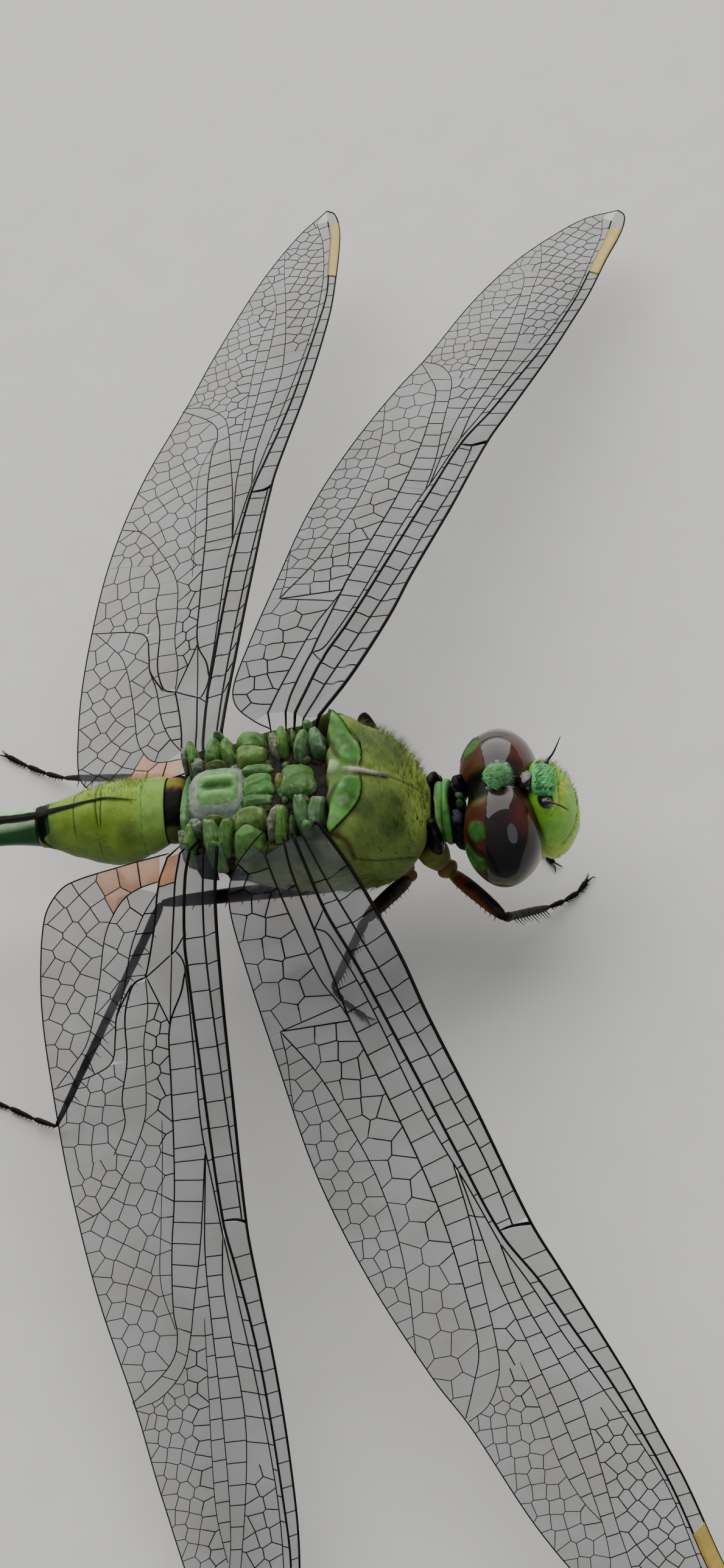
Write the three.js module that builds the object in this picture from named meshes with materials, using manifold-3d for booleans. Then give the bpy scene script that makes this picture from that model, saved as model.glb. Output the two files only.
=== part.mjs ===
// A life-size dragonfly, a green pondhawk, standing still with its wings spread and drooped.
// Millimetres. While it is built, +X is forward, +Y is the animal's left and +Z is up, with the
// origin midway between the four wing hinges. The last lines stand it on the floor, z = 0.
import * as THREE from 'three';
import { mergeVertices } from 'three/addons/utils/BufferGeometryUtils.js';
import Module from 'manifold-3d';

const wasm = await Module();
wasm.setup();

// ---- Driving dimensions ----

const HINGE_HEIGHT = 9.5;           // wing hinges above the floor
const FLOOR = -HINGE_HEIGHT;
const GAP = 0.05;                   // parting gap between neighbouring pieces
const HINGE_SPREAD = 3.42;          // forewing hinge to hindwing hinge, along the body
const HINGE_OUT = 2.33;             // hinges from the midline
const HIND_DROP = 0.5;              // hindwing hinges below the forewing hinges
const WING_THICK = 0.5;

const ABDOMEN_START = -3.85;
const SEGMENT_LENGTHS = [0.85, 1.65, 2.3, 3.4, 3.6, 3.6, 3.5, 2.6, 1.7, 1.0];
const CERCUS_LENGTH = 1.2;

const HEAD_MIDDLE = 7.98;           // middle of the eyes, along the body
const HEAD_YAW = 2;                 // degrees, to the animal's left
const EYE_REAR = 7.02;              // where the eyes give way to the hard back of the head

// ---- Looks of the solids ----

const finish = (color, roughness = 0.45) =>
  new THREE.MeshStandardMaterial({ color, roughness, metalness: 0 });
const GREEN_SHELL = finish(0x5f8f24);
const LIME_FACE = finish(0x9ac437);
const DARK_SHELL = finish(0x14120f, 0.35);
const EYE_DARK = finish(0x3b302b, 0.12);
const WING_CLEAR = finish(0xb7b7b2, 0.2);
const LEG_DARK = finish(0x1c1512, 0.4);
const TAIL_DARK = finish(0x2b3a22, 0.45);

// ---- Shaping helpers ----

const model = new THREE.Group();

function addPiece(name, geometry, material) {
  const piece = new THREE.Mesh(geometry, material);
  piece.name = name;
  model.add(piece);
}

// A measure that changes smoothly through [place, size] stops, given in order of place.
function measure(stops) {
  const slope = (i) => {
    const before = stops[Math.max(i - 1, 0)];
    const after = stops[Math.min(i + 1, stops.length - 1)];
    return (after[1] - before[1]) / (after[0] - before[0]);
  };
  return (place) => {
    let i = 0;
    while (i < stops.length - 2 && place > stops[i + 1][0]) i += 1;
    const width = stops[i + 1][0] - stops[i][0];
    const t = THREE.MathUtils.clamp((place - stops[i][0]) / width, 0, 1);
    const rise = stops[i + 1][1] - stops[i][1];
    const ease = t * t * (3 - 2 * t);
    const startPull = slope(i) * width * t * (1 - t) * (1 - t);
    const endPull = slope(i + 1) * width * t * t * (1 - t);
    return stops[i][1] + rise * ease + startPull - endPull;
  };
}

// Moves every vertex of a geometry to where place(vertex) puts it.
function reshape(geometry, place) {
  const spots = geometry.attributes.position;
  const spot = new THREE.Vector3();
  for (let i = 0; i < spots.count; i += 1) {
    spot.fromBufferAttribute(spots, i);
    place(spot);
    spots.setXYZ(i, spot.x, spot.y, spot.z);
  }
  return geometry;
}

// A closed shell along X from start to end. Its rings come from the four measures: the top, the
// bottom, the half width, and the level where it is widest. blunt near 0 squares its two ends.
function shell({ start, end, top, bottom, halfWidth, widest, square = 1, blunt = 0.5 }, rings, sides) {
  const geometry = new THREE.SphereGeometry(1, sides, rings);
  geometry.rotateZ(-Math.PI / 2);
  return reshape(geometry, (spot) => {
    const angle = Math.atan2(spot.z, spot.y);
    const fullness = Math.pow(Math.hypot(spot.y, spot.z), blunt);
    const place = start + (end - start) * (spot.x + 1) / 2;
    const rise = Math.sign(Math.sin(angle)) * Math.pow(Math.abs(Math.sin(angle)), square);
    const spread = Math.sign(Math.cos(angle)) * Math.pow(Math.abs(Math.cos(angle)), square);
    const level = widest(place);
    const reach = rise > 0 ? top(place) - level : level - bottom(place);
    spot.set(place, spread * halfWidth(place) * fullness, level + rise * reach * fullness);
  });
}

function ellipsoid(centre, radii, sides = 20, rings = 14) {
  const geometry = new THREE.SphereGeometry(1, sides, rings);
  geometry.scale(...radii);
  geometry.translate(...centre);
  return geometry;
}

// A round limb from one joint to the next, through [share of its length, radius] stops.
function limb(from, to, stops, sides = 8) {
  const start = new THREE.Vector3(...from);
  const run = new THREE.Vector3(...to).sub(start);
  const length = run.length() - 2 * GAP;
  const profile = stops.map(([share, radius]) => new THREE.Vector2(radius, GAP + share * length));
  profile.unshift(new THREE.Vector2(0, profile[0].y));
  profile.push(new THREE.Vector2(0, profile[profile.length - 1].y));
  const geometry = new THREE.LatheGeometry(profile, sides);
  const up = new THREE.Vector3(0, 1, 0);
  geometry.applyQuaternion(new THREE.Quaternion().setFromUnitVectors(up, run.normalize()));
  geometry.translate(...from);
  return geometry;
}

// A round tube along a smooth curve through joints.
function tube(joints, radius, steps, sides = 8) {
  const path = new THREE.CatmullRomCurve3(joints.map((joint) => new THREE.Vector3(...joint)));
  const section = new THREE.Shape();
  for (let i = 0; i < sides; i += 1) {
    const angle = 2 * Math.PI * i / sides;
    const corner = [radius * Math.cos(angle), radius * Math.sin(angle)];
    if (i === 0) section.moveTo(...corner);
    else section.lineTo(...corner);
  }
  return new THREE.ExtrudeGeometry(section, { steps, extrudePath: path, bevelEnabled: false });
}

// ---- Cutting and joining ----

function toSolid(geometry) {
  const bare = geometry.clone();
  bare.deleteAttribute('normal');
  bare.deleteAttribute('uv');
  const merged = mergeVertices(bare, 1e-4);
  const triVerts = new Uint32Array(merged.index.array);
  const vertProperties = new Float32Array(merged.attributes.position.array);
  return new wasm.Manifold(new wasm.Mesh({ numProp: 3, vertProperties, triVerts }));
}

function toGeometry(solid) {
  const mesh = solid.getMesh();
  const geometry = new THREE.BufferGeometry();
  geometry.setAttribute('position', new THREE.BufferAttribute(mesh.vertProperties, 3));
  geometry.setIndex(new THREE.BufferAttribute(mesh.triVerts, 1));
  geometry.computeVertexNormals();
  return geometry;
}

function block(low, high) {
  const geometry = new THREE.BoxGeometry(high[0] - low[0], high[1] - low[1], high[2] - low[2]);
  geometry.translate((low[0] + high[0]) / 2, (low[1] + high[1]) / 2, (low[2] + high[2]) / 2);
  return toSolid(geometry);
}

// ---- Thorax ----

const THORAX = {
  start: -3.8,
  end: 5.5,
  top: measure([[-3.8, -1.3], [-2.8, -0.3], [-1, 0.05], [1.5, 0.15], [3, 0.03],
    [4.2, -0.4], [5.0, -1.1], [5.5, -2.2]]),
  bottom: measure([[-3.8, -2.9], [-2, -4.0], [0, -4.8], [2.5, -5.5], [4.3, -5.5], [5.5, -4.2]]),
  halfWidth: measure([[-3.8, 1.3], [-2.6, 2.2], [-0.5, 2.75], [2, 3.0], [3.8, 3.05],
    [4.9, 2.6], [5.5, 1.7]]),
  widest: measure([[-3.8, -2.0], [0, -2.2], [3, -2.2], [5.5, -2.9]]),
  square: 0.85,
  blunt: 0.42,
};

const PROTHORAX = {
  start: 5.6,
  end: 6.7,
  top: measure([[5.6, -2.3], [6.2, -2.35], [6.7, -2.9]]),
  bottom: measure([[5.6, -4.5], [6.7, -4.2]]),
  halfWidth: measure([[5.6, 1.2], [6.2, 1.0], [6.7, 0.7]]),
  widest: measure([[5.6, -3.5], [6.7, -3.5]]),
  blunt: 0.3,
};

// ---- Head ----

// The whole head across the body, eye to eye. Thin cuts then part it.
const EYES = {
  start: -3.25,
  end: 3.25,
  top: measure([[-3.25, -2.7], [-2.3, -1.8], [-1.1, -1.5], [0, -1.75], [1.1, -1.5], [2.3, -1.8],
    [3.25, -2.7]]),
  bottom: measure([[-3.25, -4.4], [-2.3, -5.25], [-1.1, -5.45], [0, -5.2], [1.1, -5.45],
    [2.3, -5.25], [3.25, -4.4]]),
  halfWidth: measure([[-3.25, 1.1], [-2.2, 1.5], [-1, 1.53], [0, 1.35], [1, 1.53], [2.2, 1.5],
    [3.25, 1.1]]),
  widest: () => -3.5,
  blunt: 0.62,
};

const FACE = {
  start: 8.8,
  end: 10.72,
  top: measure([[8.8, -2.1], [9.4, -1.8], [10.0, -2.2], [10.72, -3.4]]),
  bottom: measure([[8.8, -5.7], [9.6, -6.0], [10.72, -5.2]]),
  halfWidth: measure([[8.8, 1.5], [9.5, 1.66], [10.2, 1.5], [10.72, 1.1]]),
  widest: measure([[8.8, -4.1], [10.72, -4.2]]),
  square: 0.9,
  blunt: 0.5,
};

// Turns a piece of the head about the neck.
function turned(geometry) {
  geometry.translate(-PROTHORAX.end, 0, 0);
  geometry.rotateZ(THREE.MathUtils.degToRad(HEAD_YAW));
  return geometry.translate(PROTHORAX.end, 0, 0);
}

const faceShape = () => shell(FACE, 10, 16);

function buildHead() {
  const reach = 12;
  const wholeShape = shell(EYES, 22, 24);
  wholeShape.rotateZ(Math.PI / 2);
  wholeShape.translate(HEAD_MIDDLE, 0, 0);
  const whole = toSolid(wholeShape);
  const face = toSolid(faceShape());
  const occiput = toSolid(ellipsoid([7.5, 0, -1.85], [0.85, 0.52, 0.6], 14, 10));
  const mouthRoom = toSolid(ellipsoid([8.6, 0, -5.2], [1.5, 1.35, 0.85], 12, 8));
  const neckRoom = block([0, -1.25, -4.95], [PROTHORAX.end + GAP, 1.25, -2.2]);
  const rear = block([0, -reach, -reach], [EYE_REAR, reach, reach]);
  const left = block([EYE_REAR + GAP, GAP / 2, -reach], [reach, reach, reach]);
  const right = block([EYE_REAR + GAP, -reach, -reach], [reach, -GAP / 2, reach]);
  const eyes = whole.subtract(face).subtract(occiput).subtract(mouthRoom);
  const head = whole.intersect(rear).subtract(neckRoom).subtract(mouthRoom).add(occiput);
  addPiece('head', turned(toGeometry(head)), GREEN_SHELL);
  addPiece('eye_left', turned(toGeometry(eyes.intersect(left))), EYE_DARK);
  addPiece('eye_right', turned(toGeometry(eyes.intersect(right))), EYE_DARK);
  addPiece('face', turned(toGeometry(face)), LIME_FACE);
  addPiece('mouthparts', turned(toGeometry(mouthRoom.subtract(face))), LIME_FACE);
}

buildHead();
addPiece('prothorax', shell(PROTHORAX, 7, 14), GREEN_SHELL);
const thoraxShape = shell(THORAX, 17, 22);
const thoraxRoom = toSolid(thoraxShape);
addPiece('thorax', thoraxShape, GREEN_SHELL);

// ---- Antennae ----

const ANTENNA_RADIUS = 0.25;
const ANTENNAE = {
  antenna_left: [[9.68, 0.72, -2.2], [10.1, 1.0, -1.75], [10.42, 1.3, -1.2]],
  antenna_right: [[9.75, -0.8, -2.25], [10.1, -1.05, -1.85], [10.5, -1.25, -2.0]],
};
const faceRoom = toSolid(turned(faceShape()));
for (const [name, joints] of Object.entries(ANTENNAE)) {
  const stalk = toSolid(tube(joints, ANTENNA_RADIUS, 4));
  addPiece(name, toGeometry(stalk.subtract(faceRoom)), DARK_SHELL);
}

// ---- Abdomen ----

const ABDOMEN = {
  top: measure([[-28.5, -1.3], [-26, -1.1], [-22, -0.95], [-17, -0.95], [-13, -1.1], [-10.1, -1.26],
    [-8.65, -1.11], [-7.3, -0.77], [-6.2, -0.45], [-5.0, -0.7], [-3.9, -0.7]]),
  bottom: measure([[-28.5, -2.3], [-26, -2.6], [-22, -2.8], [-17, -2.75], [-13, -2.5], [-10.1, -2.38],
    [-8.65, -2.78], [-7.3, -3.6], [-6.2, -4.0], [-5.0, -3.2], [-3.9, -2.6]]),
  halfWidth: measure([[-28.5, 0.6], [-26, 0.85], [-22, 1.0], [-17, 1.0], [-13, 0.8], [-10.1, 0.68],
    [-8.65, 0.7], [-7.3, 0.95], [-6.2, 1.2], [-5.0, 1.4], [-3.9, 1.25]]),
  widest: measure([[-28.5, -1.8], [-10.1, -1.82], [-6.2, -2.2], [-3.9, -1.7]]),
  blunt: 0.07,
};

function buildAbdomen() {
  let front = ABDOMEN_START;
  SEGMENT_LENGTHS.forEach((length, i) => {
    const segment = { ...ABDOMEN, start: front - length + GAP / 2, end: front - GAP / 2 };
    addPiece(`abdomen_s${i + 1}`, shell(segment, 5, 12), i < 3 ? GREEN_SHELL : TAIL_DARK);
    front -= length;
  });
  const stops = [[0, 0.25], [0.5, 0.3], [1, 0.25]];
  for (const [name, side] of [['cercus_left', 1], ['cercus_right', -1]]) {
    const root = [front, side * 0.33, -1.65];
    const tip = [front - CERCUS_LENGTH, side * 0.4, -1.7];
    addPiece(name, limb(root, tip, stops, 8), LIME_FACE);
  }
}

buildAbdomen();

// ---- Wings ----

// Outlines as [span, chord]: out along the wing from its hinge, and back towards its rear edge.
const FOREWING = {
  front: [[0.15, -0.22], [2, -0.42], [5, -0.4], [9, -0.1], [13, 0.12], [16.1, 0.4], [20, 0.27],
    [24, 0.22], [27.5, 0.38], [30, 0.66], [31.5, 1.0], [32.1, 1.45]],
  rear: [[0.15, 1.2], [-0.35, 2.2], [0.05, 3.3], [1.5, 4.1], [5, 4.7], [9, 5.5], [13, 5.97],
    [17, 5.95], [21, 5.45], [25, 5.15], [28, 4.5], [30.3, 3.3], [31.7, 2.2], [32.1, 1.6]],
};
const HINDWING = {
  front: [[0.15, 0.1], [3, 0.52], [7, 0.68], [13.4, 0.75], [16, 0.6], [20, 0.3], [24, 0.22],
    [27, 0.4], [29.3, 0.75], [30.5, 1.15], [30.9, 1.5]],
  rear: [[0.1, 1.3], [-0.25, 2.2], [-0.1, 4.0], [0.1, 6.0], [1, 7.0], [3, 7.5], [6, 7.5], [9.5, 7.4],
    [13, 6.85], [17, 6.15], [20, 5.5], [24, 4.55], [27, 3.7], [29.3, 2.75], [30.6, 2.0], [30.9, 1.65]],
};
const KNOB_RADII = [0.7, 0.6, 0.55];  // the lump at each wing's root, which joins it to the thorax

// Degrees. curl is how far the tip bends back up, in millimetres, from CURL_START outwards, and sag
// is how far the broad root hangs below the wing's plane behind its front edge.
const CURL_START = 18;
const SAG_SPAN = 8;
const SAG_CHORD = 2;
const WINGS = [
  { name: 'forewing_right', outline: FOREWING, side: -1, sweep: 27.1, droop: 10.8, twist: -4.9 },
  { name: 'forewing_left', outline: FOREWING, side: 1, sweep: 24.3, droop: 12.7, twist: -11 },
  { name: 'hindwing_right', outline: HINDWING, side: -1, sweep: 5.2, droop: 15.3, twist: -13.5, curl: 0.7 },
  { name: 'hindwing_left', outline: HINDWING, side: 1, sweep: 8.2, droop: 10.7, twist: -11.4, sag: 2.5 },
];

// The wing's own directions: along its span, back along its chord, and up through its membrane.
function wingAxes({ side, sweep, droop, twist }) {
  const [swept, drooped, twisted] = [sweep, -droop, twist].map(THREE.MathUtils.degToRad);
  const span = new THREE.Vector3(Math.sin(swept) * Math.cos(drooped),
    side * Math.cos(swept) * Math.cos(drooped), Math.sin(drooped));
  const level = new THREE.Vector3(-Math.cos(swept), side * Math.sin(swept), 0);
  const upright = new THREE.Vector3().crossVectors(level, span).multiplyScalar(side).normalize();
  if (upright.z < 0) upright.negate();
  const chord = level.clone().multiplyScalar(Math.cos(twisted));
  chord.addScaledVector(upright, Math.sin(twisted));
  const through = new THREE.Vector3().crossVectors(span, chord).multiplyScalar(side).normalize();
  return { span, chord, through };
}

function buildWing(wing) {
  const [along, across] = [23, 4];
  const { span, chord, through } = wingAxes(wing);
  const { curl = 0, sag = 0 } = wing;
  const isFore = wing.outline === FOREWING;
  const hinge = new THREE.Vector3(HINGE_SPREAD / 2, wing.side * HINGE_OUT, 0);
  if (!isFore) hinge.set(-HINGE_SPREAD / 2, wing.side * HINGE_OUT, -HIND_DROP);
  const toCurve = (stops) => new THREE.SplineCurve(stops.map((stop) => new THREE.Vector2(...stop)));
  const front = toCurve(wing.outline.front);
  const rear = toCurve(wing.outline.rear);
  const geometry = new THREE.BoxGeometry(1, 1, 1, along, across, 1);
  reshape(geometry, (spot) => {
    const share = 0.5 - wing.side * spot.x;
    const edge = front.getPointAt(share).lerp(rear.getPointAt(share), 0.5 - spot.y);
    const past = Math.max(0, edge.x - CURL_START) / (HINDWING.front.at(-1)[0] - CURL_START);
    const hang = (1 - Math.exp(-Math.max(edge.y, 0) / SAG_CHORD)) * Math.exp(-((edge.x / SAG_SPAN) ** 2));
    const rise = spot.z * WING_THICK + curl * past * past - sag * hang;
    spot.copy(hinge).addScaledVector(span, edge.x).addScaledVector(chord, edge.y);
    spot.addScaledVector(through, rise);
  });
  const knob = ellipsoid([hinge.x - 0.35, hinge.y - wing.side * 0.25, hinge.z - 0.3], KNOB_RADII, 8, 6);
  const solid = toSolid(geometry).add(toSolid(knob)).subtract(thoraxRoom);
  addPiece(wing.name, toGeometry(solid), WING_CLEAR);
}

WINGS.forEach(buildWing);

// ---- Legs ----

// Joints of each leg, hip to claw: coxa root, trochanter, knee, ankle and claw tip.
const LEGS = {
  fore_right: [[5.1, -0.8, -4.1], [5.85, -1.2, -5.5], [7.83, -3.88, -4.7], [9.0, -1.15, -8.9], [10.48, 0, 0]],
  fore_left: [[5.1, 0.8, -4.1], [5.85, 1.2, -5.5], [7.5, 3.7, -4.9], [8.3, 2.1, -8.9], [9.2, 1.05, 0]],
  mid_right: [[3.7, -0.8, -4.6], [4.3, -1.1, -5.9], [3.0, -4.31, -3.3], [0.85, -3.82, -8.9], [2.0, -4.9, 0]],
  mid_left: [[3.7, 0.8, -4.6], [4.3, 1.1, -5.9], [3.0, 4.6, -3.5], [0.9, 5.9, -8.9], [0.1, 7.9, 0]],
  hind_right: [[1.9, -0.8, -4.6], [2.3, -1.2, -5.9], [-4.55, -2.6, -3.75], [-9.46, -8.65, -8.9],
    [-12.4, -7.0, 0]],
  hind_left: [[1.9, 0.8, -4.6], [2.3, 1.2, -5.9], [-4.4, 3.0, -4.1], [-9.86, 6.6, -8.9], [-12.4, 8.2, 0]],
};
const COXA_STOPS = [[0, 0.65], [0.5, 0.62], [1, 0.42]];
const FEMUR_STOPS = [[0, 0.27], [0.15, 0.36], [0.75, 0.34], [1, 0.26]];
const TIBIA_STOPS = [[0, 0.25], [0.15, 0.27], [1, 0.25]];
const TARSUS_RADIUS = 0.25;
const SOLE = 0.2;                   // height of the tarsus's middle where its sole lies flat

// Each length of the leg is trimmed by the one before it, so that they meet at the joint.
function buildLeg(name, [root, trochanter, knee, ankle, claw]) {
  const at = (share, level) => [ankle[0] + (claw[0] - ankle[0]) * share,
    ankle[1] + (claw[1] - ankle[1]) * share, level];
  const joints = [at(0.04, ankle[2] - 0.1), at(0.4, FLOOR + SOLE + 0.08),
    at(0.65, FLOOR + SOLE), at(1, FLOOR + SOLE)];
  const tarsus = reshape(tube(joints, TARSUS_RADIUS, 7), (spot) => {
    spot.z = Math.max(spot.z, FLOOR);
  });
  const lengths = [
    ['coxa', limb(root, trochanter, COXA_STOPS)],
    ['femur', limb(trochanter, knee, FEMUR_STOPS)],
    ['tibia', limb(knee, ankle, TIBIA_STOPS)],
    ['tarsus', tarsus],
  ];
  let before = thoraxRoom;
  for (const [kind, geometry] of lengths) {
    const solid = toSolid(geometry);
    addPiece(`${kind}_${name}`, toGeometry(solid.subtract(before)), LEG_DARK);
    before = solid;
  }
}

for (const [name, joints] of Object.entries(LEGS)) buildLeg(name, joints);

// ---- Standing on the floor ----

const extent = new THREE.Box3().setFromObject(model, true);
const middle = extent.getCenter(new THREE.Vector3());
model.position.set(-middle.x, -middle.y, HINGE_HEIGHT);

const group = new THREE.Group();
group.add(model);

export default group;
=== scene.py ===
"""A life-size green pondhawk dragonfly, standing with its wings spread and drooped.

Lengths in this script are millimetres in the insect's own frame: +X forward, +Y its left, +Z up,
with the origin midway between the four wing hinges. at() turns them into the scene's metres."""
import bmesh
import bpy
import random
from math import atan2, cos, exp, hypot, pi, radians, sin
from mathutils import Matrix, Quaternion, Vector, noise
from mathutils.bvhtree import BVHTree
from mathutils.geometry import delaunay_2d_cdt, interpolate_bezier
from mathutils.kdtree import KDTree


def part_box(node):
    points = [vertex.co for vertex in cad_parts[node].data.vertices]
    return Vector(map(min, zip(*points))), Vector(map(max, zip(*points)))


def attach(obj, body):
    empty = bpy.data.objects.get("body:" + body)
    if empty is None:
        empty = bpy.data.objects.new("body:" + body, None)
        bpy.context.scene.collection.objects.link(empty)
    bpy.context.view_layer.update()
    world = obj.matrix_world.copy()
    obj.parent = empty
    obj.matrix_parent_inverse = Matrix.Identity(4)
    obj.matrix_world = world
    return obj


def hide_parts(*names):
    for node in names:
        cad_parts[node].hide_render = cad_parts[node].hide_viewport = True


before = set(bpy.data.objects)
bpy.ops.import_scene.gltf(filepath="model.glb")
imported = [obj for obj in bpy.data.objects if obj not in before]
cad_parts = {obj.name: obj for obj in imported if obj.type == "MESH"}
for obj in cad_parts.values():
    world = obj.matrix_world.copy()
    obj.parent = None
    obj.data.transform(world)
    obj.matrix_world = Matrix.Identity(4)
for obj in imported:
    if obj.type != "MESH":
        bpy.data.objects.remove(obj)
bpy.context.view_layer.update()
random.seed(11)

MM = 0.001
HINGE_HEIGHT = 9.5                  # wing hinges above the floor
ABDOMEN_START = -3.85               # front of the abdomen
GAP = 0.05                          # parting gap between the solids

tail_low, tail_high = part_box("abdomen_s1")
ORIGIN = Vector((tail_high[0] - (ABDOMEN_START - GAP / 2) * MM,
        (tail_low[1] + tail_high[1]) / 2, HINGE_HEIGHT * MM))


def at(x, y, z):
    return ORIGIN + Vector((x, y, z)) * MM


# ---- Camera, floor and light ----

CAMERA_TURN = radians(14.39)        # from straight off the insect's right side, towards its head
CAMERA_RISE = radians(56.38)
CAMERA_ROLL = radians(-17.32)
CAMERA_PLACE = (19.47, -63.12, 96.94)
SENSOR = 36                         # along the view's long side
LENS = 75.74
CLIP = (0.005, 20)
LAMP_AIM = (0, 0, 0.005)


def add_camera():
    camera = bpy.data.objects.new("camera", bpy.data.cameras.new("camera"))
    bpy.context.scene.collection.objects.link(camera)
    back = Vector((sin(CAMERA_TURN) * cos(CAMERA_RISE), -cos(CAMERA_TURN) * cos(CAMERA_RISE),
            sin(CAMERA_RISE)))
    camera.rotation_mode = "QUATERNION"
    camera.rotation_quaternion = back.to_track_quat("Z", "Y") @ Quaternion((0, 0, 1), CAMERA_ROLL)
    camera.location = at(*CAMERA_PLACE)
    camera.data.lens = LENS
    camera.data.sensor_width = SENSOR
    camera.data.clip_start, camera.data.clip_end = CLIP
    bpy.context.scene.camera = camera


def add_light(name, shape, place, width, watts, colour):
    lamp = bpy.data.lights.new(name, "AREA")
    lamp.shape = shape
    lamp.size = lamp.size_y = width
    lamp.energy = watts
    lamp.color = colour
    light = bpy.data.objects.new(name, lamp)
    bpy.context.scene.collection.objects.link(light)
    light.location = place
    light.rotation_euler = (Vector(place) - Vector(LAMP_AIM)).to_track_quat("Z", "Y").to_euler()


def add_studio():
    bpy.ops.mesh.primitive_plane_add(size=4, location=(0, 0, 0))
    ground = bpy.context.object
    ground.name = "floor"
    # Matt painted board: pale, with the faintest unevenness.
    paint = new_material("floor_painted_board", roughness=0.9, specular=0.2)
    grain = paint.add("ShaderNodeTexNoise", Vector=paint.place, Scale=per_mm(0.5), Detail=3.0)
    shade = paint.add("ShaderNodeMix", data_type="RGBA", Factor=grain.outputs["Fac"])
    shade.inputs["A"].default_value = srgb("c9c7c3")
    shade.inputs["B"].default_value = srgb("d0cecb")
    paint.link(shade.outputs["Result"], "Base Color")
    ground.data.materials.append(paint.material)
    world = bpy.data.worlds.new("studio")
    bpy.context.scene.world = world
    world.use_nodes = True
    sky = world.node_tree.nodes["Background"]
    sky.inputs["Color"].default_value = srgb("dfe4ec")
    sky.inputs["Strength"].default_value = 0.24
    add_light("overhead_softbox", "RECTANGLE", (-0.1, 0.46, 0.42), 1.3, 15, (1, 0.99, 0.97))
    add_light("front_fill", "ELLIPSE", (0.38, -0.3, 0.4), 0.34, 0.4, (0.75, 0.85, 1))


# ---- Materials ----

def srgb(code):
    """An sRGB hex code as linear RGBA."""
    parts = [int(code[i:i + 2], 16) / 255 for i in (0, 2, 4)]
    return tuple(p / 12.92 if p <= 0.04045 else ((p + 0.055) / 1.055) ** 2.4 for p in parts) + (1,)


def per_mm(count):
    """A texture scale that gives so many features to the millimetre."""
    return count / MM


class Finish:
    """A material being made, with the one function that adds its nodes."""

    def __init__(self, name, **sockets):
        self.material = bpy.data.materials.new(name)
        self.material.use_nodes = True
        self.tree = self.material.node_tree
        self.shader = self.tree.nodes["Principled BSDF"]
        self.place = self.add("ShaderNodeTexCoord").outputs["Object"]
        for socket, value in sockets.items():
            self.shader.inputs[socket].default_value = value

    def add(self, kind, **wanted):
        node = self.tree.nodes.new(kind)
        settings = {key: value for key, value in wanted.items() if hasattr(node, key)}
        for key, value in settings.items():
            setattr(node, key, value)
        for key, value in wanted.items():
            if key in settings:
                continue
            if isinstance(value, bpy.types.NodeSocket):
                self.tree.links.new(value, node.inputs[key.replace("_", " ")])
            else:
                node.inputs[key.replace("_", " ")].default_value = value
        return node

    def link(self, output, socket):
        self.tree.links.new(output, self.shader.inputs[socket])


def new_material(name, roughness=0.5, specular=0.5, coat=0.0, coat_roughness=0.03, ior=1.5,
        alpha=1.0):
    return Finish(name, **{"Roughness": roughness, "Specular IOR Level": specular, "IOR": ior,
            "Coat Weight": coat, "Coat Roughness": coat_roughness, "Alpha": alpha})


# ---- Making pieces ----

LOOKS = {}                          # every finish of the insect, by its short name


def new_piece(name, bm, *finishes):
    """Makes the bmesh a piece of the insect, and frees it. It is already in the scene's metres."""
    mesh = bpy.data.meshes.new(name)
    bm.to_mesh(mesh)
    bm.free()
    piece = bpy.data.objects.new(name, mesh)
    bpy.context.scene.collection.objects.link(piece)
    for polygon in mesh.polygons:
        polygon.use_smooth = True
    for finish in finishes:
        mesh.materials.append(LOOKS[finish].material)
    return piece


def keep(piece, slot, *nodes):
    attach(piece, "root")
    if nodes:
        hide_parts(*nodes)


# ---- Wings ----

CLOSE = 0.02                        # path points nearer than this to a cut are left out
SAME_SPOT = 0.004                   # outline points nearer than this are one
ON_CUT = 2e-4                       # how near an edge lies to the cut that made it
LAST_RUNG = 0.25                    # the least room after a row's last crossvein
LEAN_SPAN = 15                      # the span by which crossveins have their full lean
RUNG_SPREAD = (0.93, 1.07)          # how the distance between crossveins varies
CELL_WANDER = 0.13                  # how far a cell's seed strays, as a share of the pitch
SEED_REACH = 4                      # a cell's neighbours lie within so many pitches
MOST_NEIGHBOURS = 26


def smooth_path(stops, spacing=0.15):
    """A smooth line through flat or solid stops, as closely spaced points."""
    stops = [Vector(stop).to_3d() for stop in stops]
    ends = [stops[0] * 2 - stops[1]] + stops + [stops[-1] * 2 - stops[-2]]
    leans = [(after - before).normalized() for before, after in zip(ends, ends[2:])]
    path = [stops[0]]
    for i, (start, end) in enumerate(zip(stops, stops[1:])):
        reach = (end - start).length
        steps = max(2, round(reach / spacing))
        bent = interpolate_bezier(start, start + leans[i] * reach / 3,
            end - leans[i + 1] * reach / 3, end, steps + 1)
        path += bent[1:]
    return path


def spot_on(path, span):
    """The spot on a path at a span."""
    for start, end in zip(path, path[1:]):
        if start.x <= span <= end.x:
            return start.lerp(end, (span - start.x) / max(end.x - start.x, 1e-6))
    return path[0] if span < path[0].x else path[-1]


def stretch(path, start, end):
    """The part of a path between two spans."""
    inside = [spot for spot in path if start + CLOSE < spot.x < end - CLOSE]
    return [spot_on(path, start)] + inside + [spot_on(path, end)]


def point_tree(spots):
    tree = KDTree(len(spots))
    for i, spot in enumerate(spots):
        tree.insert(spot, i)
    tree.balance()
    return tree


def line_length(line):
    return sum((b - a).length for a, b in zip(line, line[1:]))


def along(line, share):
    """The spot at a share of a line's whole length."""
    left = share * line_length(line)
    for a, b in zip(line, line[1:]):
        length = (b - a).length
        if left <= length:
            return a.lerp(b, left / max(length, 1e-9))
        left -= length
    return line[-1]


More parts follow.
